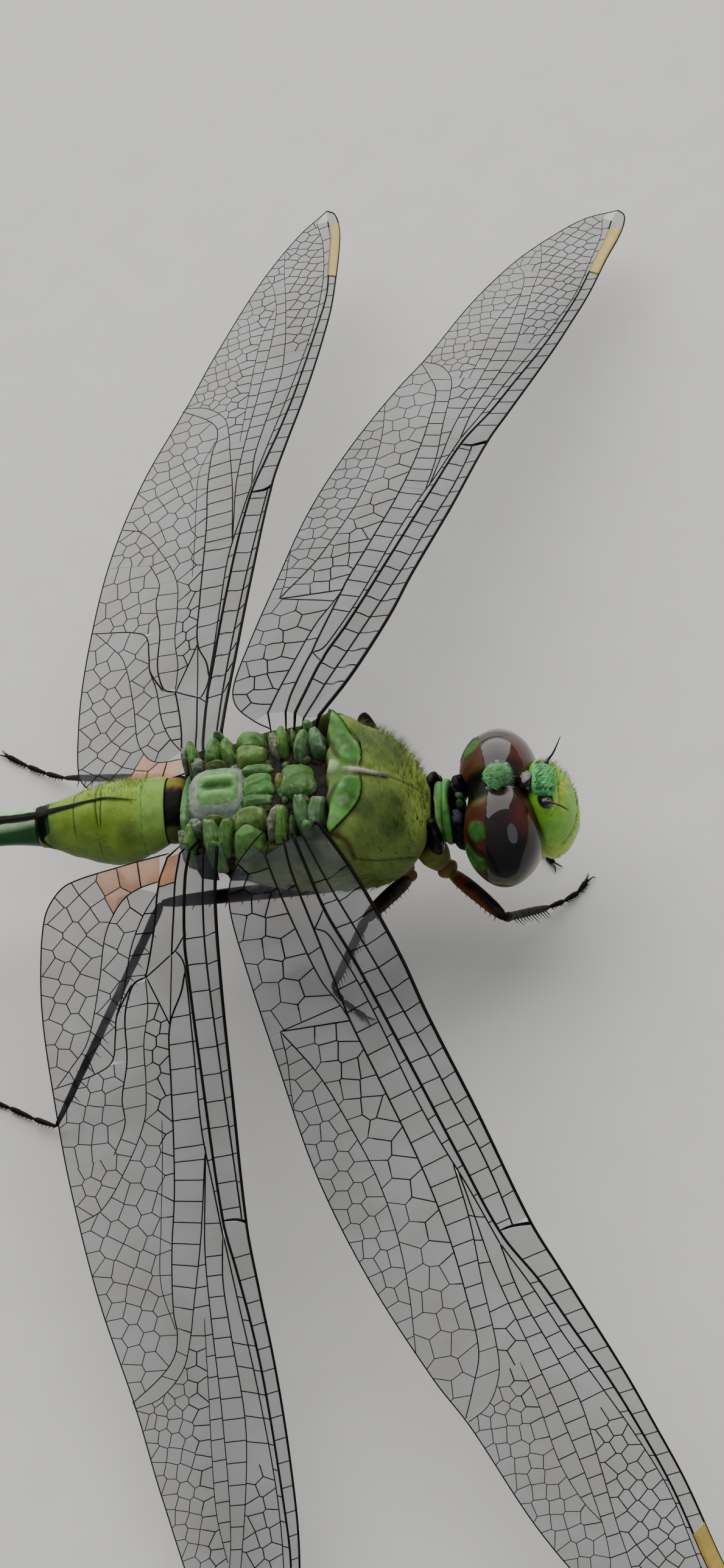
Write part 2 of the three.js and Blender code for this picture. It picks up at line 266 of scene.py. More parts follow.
# Each vein: [span, chord] stops, width at its root and its tip, and its height in the corrugation.
FORE_VEINS = {
    "costa": ([(0, -0.25), (2, -0.42), (4, -0.43), (6, -0.35), (8, -0.15), (12, 0.07),
            (16.1, 0.38), (18, 0.33), (22, 0.2), (24, 0.22), (26, 0.28), (28.6, 0.55), (30, 0.64),
            (31, 0.8), (31.7, 1.08), (32, 1.5)], 0.24, 0.1, 0.12),
    "subcosta": ([(0, 0.45), (2, 0.52), (4, 0.5), (9, 0.5), (11, 0.58), (13, 0.62), (14.5, 0.75),
            (15.9, 0.95)], 0.13, 0.1, -0.16),
    "radius": ([(0, 0.75), (1, 0.88), (3, 1.1), (5, 1.08), (9, 1.2), (13, 1.35), (16, 1.42),
            (18, 1.1), (20, 0.93), (22, 0.75), (24, 0.7), (26, 0.75), (28.4, 1.02), (30, 1.2),
            (31.2, 1.45)], 0.2, 0.11, 0.14),
    "sector": ([(3.3, 1.72), (3.6, 1.45), (4.1, 1.38), (6, 1.35), (8, 1.45), (10, 1.6), (12, 1.65),
            (14, 1.6), (16.2, 1.62)], 0.1, 0.09, -0.04),
    "media": ([(0, 1.15), (1, 1.42), (3.3, 1.75), (5.5, 2.05), (6.85, 2.24), (9.5, 2.4),
            (12.5, 2.6), (15, 2.95), (17, 3.4), (19, 4.0), (20, 4.8), (20.7, 5.45)],
        0.15, 0.06, 0.08),
    "anal": ([(0, 1.95), (1, 2.1), (3, 2.3), (5, 2.42), (6.2, 2.27), (6.85, 2.24)], 0.13, 0.08,
        -0.1),
    "arculus": ([(2.85, 1.12), (3.3, 1.72)], 0.1, 0.1, 0.0),
    "nodus": ([(15.85, 1.4), (15.92, 0.95), (16.15, 0.4)], 0.13, 0.22, 0.05),
    "triangle_in": ([(5.94, 4.51), (6.2, 2.27)], 0.08, 0.08, 0.0),
    "triangle_out": ([(5.94, 4.51), (6.85, 2.24)], 0.09, 0.1, 0.0),
    "radial_2": ([(16.2, 1.62), (18, 1.42), (20, 1.3), (22, 1.1), (24, 0.92), (26, 0.88),
            (28.5, 1.22), (30.2, 1.5), (31.4, 1.95)], 0.09, 0.05, -0.03),
    "radial_3": ([(16.2, 1.62), (18, 1.88), (20, 1.88), (22, 1.92), (24, 2.35), (26, 2.85),
            (28, 3.3), (29.4, 3.95)], 0.09, 0.04, 0.03),
    "inter": ([(13.4, 1.62), (15, 1.9), (17, 2.25), (20, 2.5), (22, 2.68), (25, 3.1), (27, 3.65),
            (28, 4.5)], 0.09, 0.04, 0.0),
    "spur": ([(20, 3.0), (21.5, 3.15), (23.5, 3.5), (25, 3.45), (25.8, 3.25)], 0.05, 0.05, 0.0),
    "radial_4": ([(13, 1.63), (15, 2.1), (17, 2.75), (19, 3.35), (20, 3.8), (20.7, 4.6),
            (20.85, 5.42)], 0.09, 0.05, 0.0),
    "cubitus": ([(5.94, 4.51), (8, 4.1), (10, 4.03), (12, 4.08), (14, 4.4), (16, 5.0), (18, 5.83)],
        0.09, 0.05, 0.06),
    "cubitus_low": ([(5.94, 4.51), (7, 4.8), (8, 5.2), (8.6, 5.4)], 0.07, 0.05, 0.0),
    "margin": ([(-0.9, 1.3), (-0.6, 2.2), (0, 3.25), (0.9, 3.87), (3, 4.4), (7, 5.15), (11, 5.82),
            (15, 6.0), (19, 5.75), (21, 5.45), (25, 5.15), (28, 4.5), (30, 3.6), (31.3, 2.7),
            (32, 1.5)], 0.09, 0.07, 0.0),
}
HIND_VEINS = {
    "costa": ([(0.2, 0.12), (2, 0.42), (5, 0.6), (9, 0.7), (13.4, 0.78), (16, 0.6), (18, 0.42),
            (20, 0.3), (22, 0.24), (24, 0.24), (26, 0.4), (28, 0.62), (29.5, 0.9), (30.5, 1.3),
            (30.8, 1.7)], 0.22, 0.1, 0.12),
    "subcosta": ([(0.2, 0.75), (2, 1.0), (4, 1.12), (8, 1.07), (11, 1.0), (13.3, 0.95)], 0.13, 0.1,
        -0.16),
    "radius": ([(0, 1.15), (1, 1.45), (3, 1.75), (4, 1.8), (8, 1.75), (13.3, 1.62), (15, 1.35),
            (17, 1.05), (19, 0.85), (23, 0.65), (25, 0.62), (27, 0.9), (28.8, 1.15), (30, 1.5)],
        0.2, 0.11, 0.14),
    "stem": ([(0, 1.55), (1, 1.87), (2, 2.05), (3.55, 2.35)], 0.13, 0.11, 0.05),
    "sector": ([(3.45, 2.2), (3.8, 1.98), (4.2, 1.9), (7, 1.95), (10, 2.02), (12, 1.85),
            (13.8, 1.7)], 0.1, 0.09, -0.04),
    "media": ([(4.3, 1.92), (5, 2.15), (6.05, 2.72), (8, 2.92), (10, 3.08), (12, 3.3), (14, 3.65),
            (16, 3.85), (16.8, 3.8), (17.5, 4.0), (18.1, 4.6), (18.8, 5.75)], 0.12, 0.06, 0.08),
    "anal": ([(0, 2.1), (0.75, 2.5), (2.5, 2.95), (4.15, 3.45)], 0.14, 0.11, -0.1),
    "arculus": ([(3.0, 1.78), (3.45, 2.2), (3.55, 2.35)], 0.1, 0.1, 0.0),
    "nodus": ([(13.25, 1.62), (13.3, 1.1), (13.45, 0.78)], 0.13, 0.2, 0.05),
    "triangle_top": ([(3.55, 2.35), (6.05, 2.72)], 0.08, 0.08, 0.0),
    "triangle_in": ([(3.55, 2.35), (4.15, 3.42)], 0.09, 0.09, 0.0),
    "triangle_out": ([(4.15, 3.42), (6.05, 2.72)], 0.09, 0.09, 0.0),
    "radial_2": ([(13.8, 1.68), (16, 1.45), (19, 1.13), (23, 0.85), (26, 0.98), (28.5, 1.45),
            (30, 2.0)], 0.09, 0.05, -0.03),
    "radial_3": ([(13.8, 1.72), (15.3, 1.9), (17, 1.85), (20, 1.7), (22, 1.9), (24.5, 2.35),
            (27, 2.9), (28.4, 3.15)], 0.09, 0.04, 0.03),
    "inter": ([(10.6, 1.95), (12, 2.15), (14, 2.42), (16, 2.5), (20, 2.52), (24, 2.7), (26, 3.2),
            (27, 3.75)], 0.09, 0.04, 0.0),
    "spur": ([(16.4, 2.75), (19, 2.92), (21, 3.05), (23, 3.1), (24.6, 2.88)], 0.05, 0.05, 0.0),
    "radial_4": ([(10.8, 2.0), (12.5, 2.3), (14, 2.6), (16, 3.1), (17, 3.35), (18, 3.75),
            (18.8, 4.7), (19, 5.68)], 0.09, 0.05, 0.0),
    "splint": ([(9.3, 3.45), (11, 3.65), (13, 3.95), (15, 4.2), (16.6, 3.85)], 0.05, 0.05, 0.0),
    "cubitus": ([(4.15, 3.45), (4.3, 3.9), (4.8, 4.2), (5.5, 4.4), (7, 4.5), (8.3, 4.85),
            (9.2, 4.85), (10.2, 5.4)], 0.12, 0.06, 0.06),
    "branch": ([(4.15, 3.45), (5.3, 3.5), (6.5, 3.8), (8, 3.9), (9.3, 4.15), (11, 5.2), (12, 6.1),
            (12.3, 6.98)], 0.07, 0.06, 0.0),
    "loop_out": ([(4.3, 4.0), (5.3, 4.7), (6, 4.85), (6.9, 5.1), (7.2, 5.8), (7.3, 6.5),
            (7.4, 7.48)], 0.12, 0.06, 0.0),
    "midrib": ([(1.2, 2.65), (2, 3.3), (3, 3.85), (4.4, 4.3), (5.3, 4.72)], 0.08, 0.08, 0.04),
    "heel": ([(0.8, 2.5), (0.9, 3.3), (1.1, 3.85), (1.5, 4.3), (2.3, 4.8), (4, 5.25), (6, 5.95),
            (6.8, 6.7), (7.35, 7.3)], 0.08, 0.06, 0.0),
    "margin": ([(-0.12, 2.0), (-0.06, 4.0), (0.1, 6.0), (0.5, 6.65), (1.2, 7.1), (3, 7.45),
            (5, 7.58), (8, 7.45), (11, 7.2), (15, 6.6), (19, 5.65), (22, 5.05), (26.5, 3.9),
            (29.4, 2.7), (30.8, 1.7)], 0.09, 0.07, 0.0),
}

# Rows of cells between an upper and a lower line, each line a chain of (vein, from span, to span).
# A ladder has crossveins every pitch from its first, their feet leaning out by lean.
FORE_LADDERS = [
    ([("costa", 0, 15.9)], [("subcosta", 0, 15.9)], 1.9, 0.93, -0.02),
    ([("subcosta", 0, 15.9)], [("radius", 0, 15.9)], 1.85, 0.93, -0.03),
    ([("costa", 16.1, 27.4)], [("radius", 15.9, 27.6)], 17.2, 0.76, -0.12),
    ([("costa", 30.75, 32)], [("radius", 30.6, 31.2)], 31.1, 0.4, -0.1),
    ([("radius", 0, 2.85)], [("media", 0, 3.3)], 9, 9, 0),
    ([("radius", 2.85, 16.1)], [("arculus", 2.85, 3.3), ("sector", 3.3, 16.2)], 5.9, 1.05, 0),
    ([("sector", 3.3, 13)], [("media", 3.3, 13)], 5.7, 0.88, -0.05),
    ([("media", 0, 6.85)], [("anal", 0, 6.85)], 1.55, 2.6, -0.1),
    ([("sector", 13.4, 16.2)], [("inter", 13.4, 16.2)], 15.2, 9, -0.2),
    ([("inter", 13.4, 17.4)], [("radial_4", 13.4, 17.4)], 15.0, 0.8, -0.15),
    ([("radial_4", 13, 20.85)], [("media", 13, 20.7)], 13.5, 0.72, -0.12),
    ([("radius", 16.1, 31.2)], [("radial_2", 16.2, 31.4)], 18.0, 0.85, -0.1),
    ([("radial_2", 16.2, 22.6)], [("radial_3", 16.2, 22.6)], 18.2, 0.8, -0.05),
    ([("radial_3", 16.2, 27.4)], [("inter", 16.2, 27.4)], 17.6, 0.62, -0.1),
    ([("inter", 20, 25.8)], [("spur", 20, 25.8)], 20.7, 0.7, -0.05),
    ([("triangle_in", 5.94, 6.2)], [("triangle_out", 5.94, 6.85)], 99, 9, 0),
]
HIND_LADDERS = [
    ([("costa", 0.2, 13.4)], [("subcosta", 0.2, 13.3)], 3.15, 0.98, 0.0),
    ([("subcosta", 0.2, 13.3)], [("radius", 0.2, 13.3)], 3.15, 0.98, 0.0),
    ([("costa", 13.4, 26.1)], [("radius", 13.3, 26.2)], 14.55, 0.8, 0.05),
    ([("costa", 29.7, 30.8)], [("radius", 29.4, 30)], 30.2, 0.5, -0.1),
    ([("radius", 0, 3.0)], [("stem", 0, 3.55)], 9, 9, 0),
    ([("radius", 3.0, 13.3)], [("arculus", 3.0, 3.45), ("sector", 3.45, 13.8)], 5.8, 1.05, 0),
    ([("stem", 0, 3.55)], [("anal", 0, 3.8)], 1.0, 2.45, -0.12),
    ([("sector", 4.3, 10.8)], [("media", 4.3, 10.9)], 5.85, 0.92, -0.08),
    ([("radial_4", 10.8, 19)], [("media", 10.9, 18.8)], 11.0, 0.74, -0.25),
    ([("sector", 10.7, 13.8)], [("inter", 10.7, 13.8)], 13.3, 9, -0.1),
    ([("radial_3", 13.8, 26)], [("inter", 13.8, 26)], 14.4, 0.7, -0.05),
    ([("inter", 10.8, 16.4)], [("radial_4", 10.8, 16.4)], 14.6, 0.7, 0.0),
    ([("radius", 13.8, 30)], [("radial_2", 13.8, 30)], 16.0, 0.85, -0.1),
    ([("radial_2", 13.8, 21.6)], [("radial_3", 13.8, 21.6)], 17.6, 0.82, -0.2),
    ([("inter", 16.4, 24.6)], [("spur", 16.4, 24.6)], 17.0, 0.68, 0.0),
    ([("branch", 4.3, 9.3)], [("cubitus", 4.3, 9.2)], 5.1, 0.72, 0.0),
    ([("cubitus", 4.3, 7.0)], [("loop_out", 4.3, 6.9)], 5.0, 0.74, 0.05),
    ([("anal", 1.2, 4.15), ("cubitus", 4.15, 4.3), ("loop_out", 4.3, 5.3)], [("midrib", 1.2, 5.3)],
        1.9, 0.72, -0.25),
    ([("triangle_top", 3.55, 6.05)], [("triangle_in", 3.55, 4.15), ("triangle_out", 4.15, 6.05)],
        99, 9, 0),
    ([("triangle_in", 3.55, 4.15)], [("anal", 3.8, 4.15)], 99, 9, 0),
    ([("sector", 3.45, 4.3)], [("arculus", 3.45, 3.55), ("triangle_top", 3.55, 6.05),
            ("media", 4.3, 6.05)], 99, 9, 0),
]
# A field has rows of cells of about one pitch, crowded towards its lower line.
FORE_FIELDS = [
    ([("media", 6.85, 20.7)], [("cubitus", 5.94, 18), ("margin", 18, 20.7)], 0.78, 1.0),
    ([("cubitus", 5.94, 18)], [("cubitus_low", 5.94, 8.6), ("margin", 8.6, 18)], 0.62, 1.15),
    ([("anal", 0, 6.2)], [("margin", -0.6, 5.9)], 0.84, 1.2),
    ([("cubitus_low", 5.94, 8.6)], [("margin", 5.9, 8.6)], 0.6, 1.0),
    ([("inter", 17.4, 20)], [("radial_4", 17.4, 20)], 0.66, 1.0),
    ([("spur", 20, 25.8), ("inter", 25.8, 28)], [("radial_4", 20, 20.85), ("margin", 20.85, 27.9)],
        0.56, 1.15),
    ([("radial_2", 22.6, 31.4)], [("radial_3", 22.6, 29.4), ("margin", 29.4, 31.8)], 0.55, 1.05),
    ([("radial_3", 27.4, 29.4)], [("inter", 27.4, 28), ("margin", 28, 29.3)], 0.5, 1.0),
]
HIND_FIELDS = [
    ([("media", 6.05, 18.8)], [("branch", 4.15, 12.3), ("margin", 12.3, 18.8)], 0.74, 1.15),
    ([("cubitus", 7.0, 10.2)], [("loop_out", 7.0, 7.4), ("margin", 7.4, 10.4)], 0.72, 1.1),
    ([("branch", 9.3, 12.3)], [("cubitus", 9.2, 10.2), ("margin", 10.4, 12.2)], 0.7, 1.1),
    ([("midrib", 1.2, 5.3), ("loop_out", 5.4, 7.4)], [("heel", 0.9, 7.35)], 0.8, 1.0),
    ([("heel", 0.8, 7.35)], [("margin", -0.11, 7.4)], 0.78, 1.15),
    ([("spur", 16.4, 24.6), ("inter", 24.6, 27)], [("radial_4", 16.4, 19), ("margin", 19, 26.9)],
        0.55, 1.15),
    ([("radial_2", 21.6, 30)], [("radial_3", 21.6, 28.4), ("margin", 28.2, 30.6)], 0.55, 1.05),
    ([("radial_3", 26, 28.4)], [("inter", 26, 27), ("margin", 27, 28.3)], 0.5, 1.0),
]
# The long opaque cell at the front edge near the tip, between costa and radius.
FORE_STIGMA = (27.45, 30.75)
HIND_STIGMA = (26.1, 29.75)


def cut_cell(region, cuts):
    """The part of a region on the inner side of every (place, outward direction) cut."""
    cell = region.copy()
    for place, outward in cuts:
        bmesh.ops.bisect_plane(cell, geom=cell.verts[:] + cell.edges[:] + cell.faces[:],
            plane_co=place, plane_no=outward, clear_outer=True)
        if not cell.faces:
            break
    bmesh.ops.dissolve_faces(cell, faces=cell.faces[:])
    return cell


def ladder_cells(upper, lower, first, pitch, lean):
    """Cuts for each cell of a ladder: a pair of crossveins, or one where it ends."""
    rungs = []
    span = first
    while span < min(upper[-1].x, lower[-1].x) - LAST_RUNG:
        lean_now = lean * min(1.0, span / LEAN_SPAN)
        rungs.append((spot_on(upper, span), spot_on(lower, span + lean_now)))
        span += pitch * random.uniform(*RUNG_SPREAD)
    walls = []
    for top, foot in rungs:
        run = (foot - top).normalized()
        walls.append((top, Vector((-run.y, run.x, 0)) * (1 if -run.y > 0 else -1)))
    behind = [[(place, -outward)] for place, outward in walls]
    ahead = [[wall] for wall in walls]
    return [back + front for back, front in zip([[]] + behind, ahead + [[]])]


def field_cells(upper, lower, pitch, crowd):
    """Cuts for each cell of a field: halfway from its own seed to every seed around it."""
    columns = max(2, round((line_length(upper) + line_length(lower)) / 2 / pitch))
    seeds = []
    for column in range(columns):
        share = (column + 0.5) / columns
        top, foot = along(upper, share), along(lower, share)
        rows = max(1, round((foot - top).length / (pitch * 0.9)))
        shift = 0.25 if column % 2 else -0.25
        for row in range(rows):
            down = min(max((row + 0.5 + (shift if rows > 1 else 0)) / rows, 0.12), 0.92)
            spot = top.lerp(foot, 1 - (1 - down) ** crowd)
            wander = [random.uniform(-pitch * CELL_WANDER, pitch * CELL_WANDER) for _ in "xy"]
            seeds.append(spot + Vector((*wander, 0)))
    tree = point_tree(seeds)
    cells = []
    for i, seed in enumerate(seeds):
        near = sorted(tree.find_range(seed, pitch * SEED_REACH), key=lambda found: found[2])
        cells.append([((seed + other) / 2, (other - seed).normalized())
                for other, j, _ in near[:MOST_NEIGHBOURS] if j != i])
    return cells


def build_network(veins, ladders, fields):
    """Cuts the flat wing into cells. Returns its films, as a flat bmesh, and its thin veins."""
    paths = {name: smooth_path(vein[0]) for name, vein in veins.items()}
    films = bmesh.new()
    struts = {}
    scratch = bpy.data.meshes.new("scratch")
    for upper_chain, lower_chain, *settings in ladders + fields:
        upper, lower = [[spot for name, *ends in chain for spot in stretch(paths[name], *ends)]
            for chain in (upper_chain, lower_chain)]
        outline = upper + lower[::-1]
        outline = [spot for i, spot in enumerate(outline)
            if (spot - outline[i - 1]).length > SAME_SPOT]
        # Lines that cross a little at a tip would fold a plain face: the region is tiled afresh.
        tiled = delaunay_2d_cdt([spot.xy for spot in outline], [], [range(len(outline))], 1, 1e-4)
        region = bmesh.new()
        corners = [region.verts.new((*spot, 0)) for spot in tiled[0]]
        for tile in tiled[2]:
            region.faces.new([corners[i] for i in tile])
        make = ladder_cells if len(settings) == 3 else field_cells
        for cuts in make(upper, lower, *settings):
            cell = cut_cell(region, cuts)
            for place, outward in cuts:
                for edge in cell.edges:
                    ends = [vertex.co.copy() for vertex in edge.verts]
                    if all(abs((end - place).dot(outward)) < ON_CUT for end in ends):
                        key = tuple(sorted(tuple(round(v, 2) for v in end[:2]) for end in ends))
                        if key[0] != key[1]:
                            struts[key] = ends
            cell.to_mesh(scratch)
            cell.free()
            films.from_mesh(scratch)
        region.free()
    bpy.data.meshes.remove(scratch)
    return paths, films, list(struts.values())


# Degrees, as the wings are held: sweep, rise, twist. Then millimetres: curl lifts the tip,
# outwards from CURL_START, and sag lowers the broad root behind the front edge.
HINGE_X = 1.71
HINGE_OUT = 2.33
HIND_DROP = 0.5
CURL_START = 18
CURL_END = 30.9
SAG_SPAN = 8
SAG_CHORD = 2
WINGS = [
    ("forewing_right", -1, 27.1, -10.8, -4.9, 0.0, 0.0),
    ("forewing_left", 1, 24.3, -12.7, -11.0, 0.0, 0.0),
    ("hindwing_right", -1, 5.2, -15.3, -13.5, 0.7, 0.0),
    ("hindwing_left", 1, 8.2, -10.7, -11.4, 0.0, 2.5),
]
FILM_THICK = 0.02
STIGMA_THICK = 0.1
BULGE = (0.05, 0.17)                # a cell's bulge, as a share of the reach to its middle
CREASE = 0.6                        # a film edge bent more than this, in radians, stays sharp
ROOT_REACH = 0.6                    # how far the main veins run in from the hinge
ROOT_SINK = 0.8                     # and how far they dip into the body there
VEIN_GIRTH = 0.29                   # a vein's radius, as a share of its listed width
VEIN_END_GIRTH = 0.14
CROSSVEIN_WIDTH = 0.058
MERGE_WITHIN = 0.015                # film edges shorter than this are closed up
SLIVER_AREA = 0.008                 # cells smaller than this, in mm2, are left out
CORRUGATION_FADE = 16               # span over which the pleats die away
PLEAT_SAMPLES = 10                  # the vein points that set a spot's height


def wing_map(name, side, sweep, rise, twist, curl, sag):
    """The function from [span, chord, height] on the flat wing to a place on the insect."""
    sweep, rise, twist = radians(sweep), radians(rise), radians(twist)
    span = Vector((sin(sweep) * cos(rise), side * cos(sweep) * cos(rise), sin(rise)))
    level = Vector((-cos(sweep), side * sin(sweep), 0))
    upright = level.cross(span) * side
    upright = (upright if upright.z > 0 else -upright).normalized()
    chord = level * cos(twist) + upright * sin(twist)
    through = (span.cross(chord) * side).normalized()
    fore = name.startswith("fore")
    hinge = Vector((HINGE_X if fore else -HINGE_X, side * HINGE_OUT, 0 if fore else -HIND_DROP))

    def place(spot, height=0.0):
        past = max(0.0, spot.x - CURL_START) / (CURL_END - CURL_START)
        hang = (1 - exp(-max(spot.y, 0) / SAG_CHORD)) * exp(-(spot.x / SAG_SPAN) ** 2)
        lift = spot.z + height + curl * past * past - sag * hang
        return ORIGIN + (hinge + span * spot.x + chord * spot.y + through * lift) * MM

    return place


def corrugation(veins, paths):
    """How high the pleated wing stands at a spot, from the veins nearest to it."""
    samples = [(spot, veins[name][3]) for name, path in paths.items() for spot in path]
    tree = point_tree([spot for spot, _ in samples])

    def height_at(spot):
        flat = Vector((spot.x, spot.y, 0))
        weights = [(1 / (distance * distance + 0.01), samples[i][1])
            for _, i, distance in tree.find_n(flat, PLEAT_SAMPLES)]
        fade = exp(-max(spot.x, 0) / CORRUGATION_FADE)
        return fade * sum(w * h for w, h in weights) / sum(w for w, h in weights)

    return height_at


def tubes(name, lines, resolution):
    """Closed round tubes along lines of (place in metres, radius in millimetres)."""
    curve = bpy.data.curves.new(name, "CURVE")
    curve.dimensions = "3D"
    curve.bevel_depth = MM
    curve.bevel_resolution = resolution
    curve.use_fill_caps = True
    for line in lines:
        spline = curve.splines.new("POLY")
        spline.points.add(len(line) - 1)
        for point, (place, radius) in zip(spline.points, line):
            point.co = (*place, 1)
            point.radius = radius
    drawn = bpy.data.objects.new(name + "_lines", curve)
    bpy.context.scene.collection.objects.link(drawn)
    bpy.context.view_layer.update()
    solid = drawn.evaluated_get(bpy.context.evaluated_depsgraph_get())
    mesh = bpy.data.meshes.new_from_object(solid)
    bm = bmesh.new()
    bm.from_mesh(mesh)
    bmesh.ops.remove_doubles(bm, verts=bm.verts, dist=1e-7)
    bmesh.ops.recalc_face_normals(bm, faces=bm.faces)
    bpy.data.objects.remove(drawn)
    bpy.data.curves.remove(curve)
    bpy.data.meshes.remove(mesh)
    return new_piece(name, bm, "vein")


def pucker(films, amber_at):
    """Gives each flat cell a slight bulge and its thickness, and picks its film."""
    bmesh.ops.dissolve_degenerate(films, dist=MERGE_WITHIN, edges=films.edges)
    slivers = [face for face in films.faces if face.calc_area() < SLIVER_AREA]
    bmesh.ops.delete(films, geom=slivers, context="FACES")
    for face in list(films.faces):
        face.material_index = 1 if amber_at(face.calc_center_median()) else 0
        inner_reach = 2 * face.calc_area() / face.calc_perimeter()
        bulge = random.choice((-1, 1, 1)) * random.uniform(*BULGE) * inner_reach
        middle = face.calc_center_median_weighted()
        spokes = [loop.vert.co - middle for loop in face.loops]
        turns = [a.cross(b).dot(face.normal) for a, b in zip(spokes, spokes[1:] + spokes[:1])]
        if min(turns) > 0:
            bmesh.ops.poke(films, faces=[face], offset=bulge, center_mode="MEAN_WEIGHTED")
        else:
            bmesh.ops.triangulate(films, faces=[face])
    top = bmesh.ops.extrude_face_region(films, geom=films.faces[:])["geom"]
    lifted = [part for part in top if isinstance(part, bmesh.types.BMVert)]
    bmesh.ops.translate(films, verts=lifted, vec=(0, 0, FILM_THICK))
    bmesh.ops.recalc_face_normals(films, faces=films.faces)
    for edge in films.edges:
        edge.smooth = edge.calc_face_angle(0) < CREASE


def build_wing(wing, veins, network, stigma_span):
    paths, films, struts = network
    name = wing[0]
    place = wing_map(*wing)
    height_at = corrugation(veins, paths)

    def lay(spot, lift=0.0):
        return place(spot, height_at(spot) + lift)

    film = films.copy()
    for vertex in film.verts:
        vertex.co = lay(vertex.co)
    if wing[1] > 0:
        bmesh.ops.reverse_faces(film, faces=film.faces)
    keep(new_piece(name + "_film", film, "film", "amber"), "wing_membrane", name)

    lines = []
    for vein, (_, root, tip, _) in veins.items():
        path = paths[vein]
        if path[0].x < 0.3 and vein != "margin":
            path = [Vector((-ROOT_REACH, 0.75 * path[0].y + 0.2, -ROOT_SINK))] + path
        last = len(path) - 1
        lines.append([(lay(spot, 0.01), (root + (tip - root) * i / last)
                    * (VEIN_GIRTH if i else VEIN_END_GIRTH)) for i, spot in enumerate(path)])
    keep(tubes(name + "_veins", lines, 2), "wing_vein")

    lines = []
    for start, end in struts:
        middle = start.lerp(end, 0.5)
        width = CROSSVEIN_WIDTH * exp(-middle.x / 60) * (0.68 if middle.y > 3.6 else 0.95)
        lines.append([(lay(spot, 0.02), width / 2) for spot in (start, middle, end)])
    keep(tubes(name + "_crossveins", lines, 0), "wing_vein")

    start, end = stigma_span
    cell = (stretch(paths["costa"], start, end)
        + stretch(paths["radius"], start + 0.15, end - 0.2)[::-1])
    stigma = bmesh.new()
    stigma.faces.new([stigma.verts.new(spot) for spot in cell])
    bmesh.ops.triangulate(stigma, faces=stigma.faces)
    bmesh.ops.subdivide_edges(stigma, edges=stigma.edges, cuts=2, use_grid_fill=True)
    for vertex in stigma.verts:
        vertex.co = lay(vertex.co, 0.05)
    bmesh.ops.recalc_face_normals(stigma, faces=stigma.faces)
    bmesh.ops.solidify(stigma, geom=stigma.faces, thickness=STIGMA_THICK * MM)
    keep(new_piece(name + "_stigma", stigma, "stigma"), "wing_vein")


def build_wings():
    """Two flat networks of cells, fore and hind, each laid out on both sides."""
    fore = build_network(FORE_VEINS, FORE_LADDERS, FORE_FIELDS)
    hind = build_network(HIND_VEINS, HIND_LADDERS, HIND_FIELDS)
    clear = lambda spot: spot.x < 0.6 and 0.5 < spot.y < 1.6
    amber = lambda spot: (hypot((spot.x - 0.3) / 1.05, (spot.y - 3.3) / 1.65) < 1
        or spot.x < 0.7 and 1.4 < spot.y < 3.0)
    pucker(fore[1], clear)
    pucker(hind[1], amber)
    for wing in WINGS[:2]:
        build_wing(wing, FORE_VEINS, fore, FORE_STIGMA)
    for wing in WINGS[2:]:
        build_wing(wing, HIND_VEINS, hind, HIND_STIGMA)


def stained(name, grain, dark, light, stops=(0.0, 1.0), detail=3.0, **gloss):
    """A finish that varies between two shades, at so many patches to the millimetre."""
    finish = new_material(name, **gloss)
    patches = finish.add("ShaderNodeTexNoise", Vector=finish.place, Scale=per_mm(grain),
        Detail=detail)
    shade = finish.add("ShaderNodeValToRGB", Fac=patches.outputs["Fac"])
    for element, stop, code in zip(shade.color_ramp.elements, stops, (dark, light)):
        element.position = stop
        element.color = srgb(code)
    finish.link(shade.outputs["Color"], "Base Color")
    return finish, patches


def make_wing_looks():
    # Dry clear chitin, a few microns thick: see-through with a faint grey sheen and soft glints.
    film, crinkle = stained("wing_film_chitin", 0.5, "1c1d22", "5c5d64", (0.35, 0.7),
        roughness=0.2, specular=0.12, ior=1.56, alpha=0.26)
    bump = film.add("ShaderNodeBump", Strength=0.25, Distance=0.05 * MM,
        Height=crinkle.outputs["Fac"])
    film.link(bump.outputs["Normal"], "Normal")
    LOOKS["film"] = film
    # The same chitin stained amber at the wing roots.
    LOOKS["amber"] = stained("wing_film_amber_chitin", 0.9, "8a4a12", "b4762c", (0.3, 0.7),
        roughness=0.2, specular=0.6, ior=1.56, alpha=0.55)[0]
    # Black sclerotised chitin tubes, with a low polish.
    LOOKS["vein"] = stained("vein_black_chitin", 6, "040303", "120d0a", detail=2.0,
        roughness=0.5, specular=0.05, ior=1.56)[0]
    # Thick opaque ochre chitin, waxy.
    LOOKS["stigma"] = stained("stigma_ochre_chitin", 4, "8b7530", "b89e4c", roughness=0.4)[0]


# ---- Shaping and colouring the body ----

def measure(stops):
    """A measure that changes smoothly through [place, size] stops, given in order of place."""
    last = len(stops) - 1
    slopes = []
    for i in range(last + 1):
        (x0, y0), (x1, y1) = stops[max(i - 1, 0)], stops[min(i + 1, last)]
        slopes.append((y1 - y0) / (x1 - x0))

    def size(place):
        i = 0
        while i < last - 1 and place > stops[i + 1][0]:
            i += 1
        width = stops[i + 1][0] - stops[i][0]
        t = min(max((place - stops[i][0]) / width, 0.0), 1.0)
        rise = (stops[i + 1][1] - stops[i][1]) * t * t * (3 - 2 * t)
        bend = slopes[i] * t * (1 - t) ** 2 - slopes[i + 1] * t * t * (1 - t)
        return stops[i][1] + rise + width * bend

    return size


def signed_power(value, power):
    return abs(value) ** power * (1 if value > 0 else -1)


def new_skin():
    """An empty mesh whose points carry a tint."""
    bm = bmesh.new()
    bm.verts.layers.float_color.new("tint")
    return bm


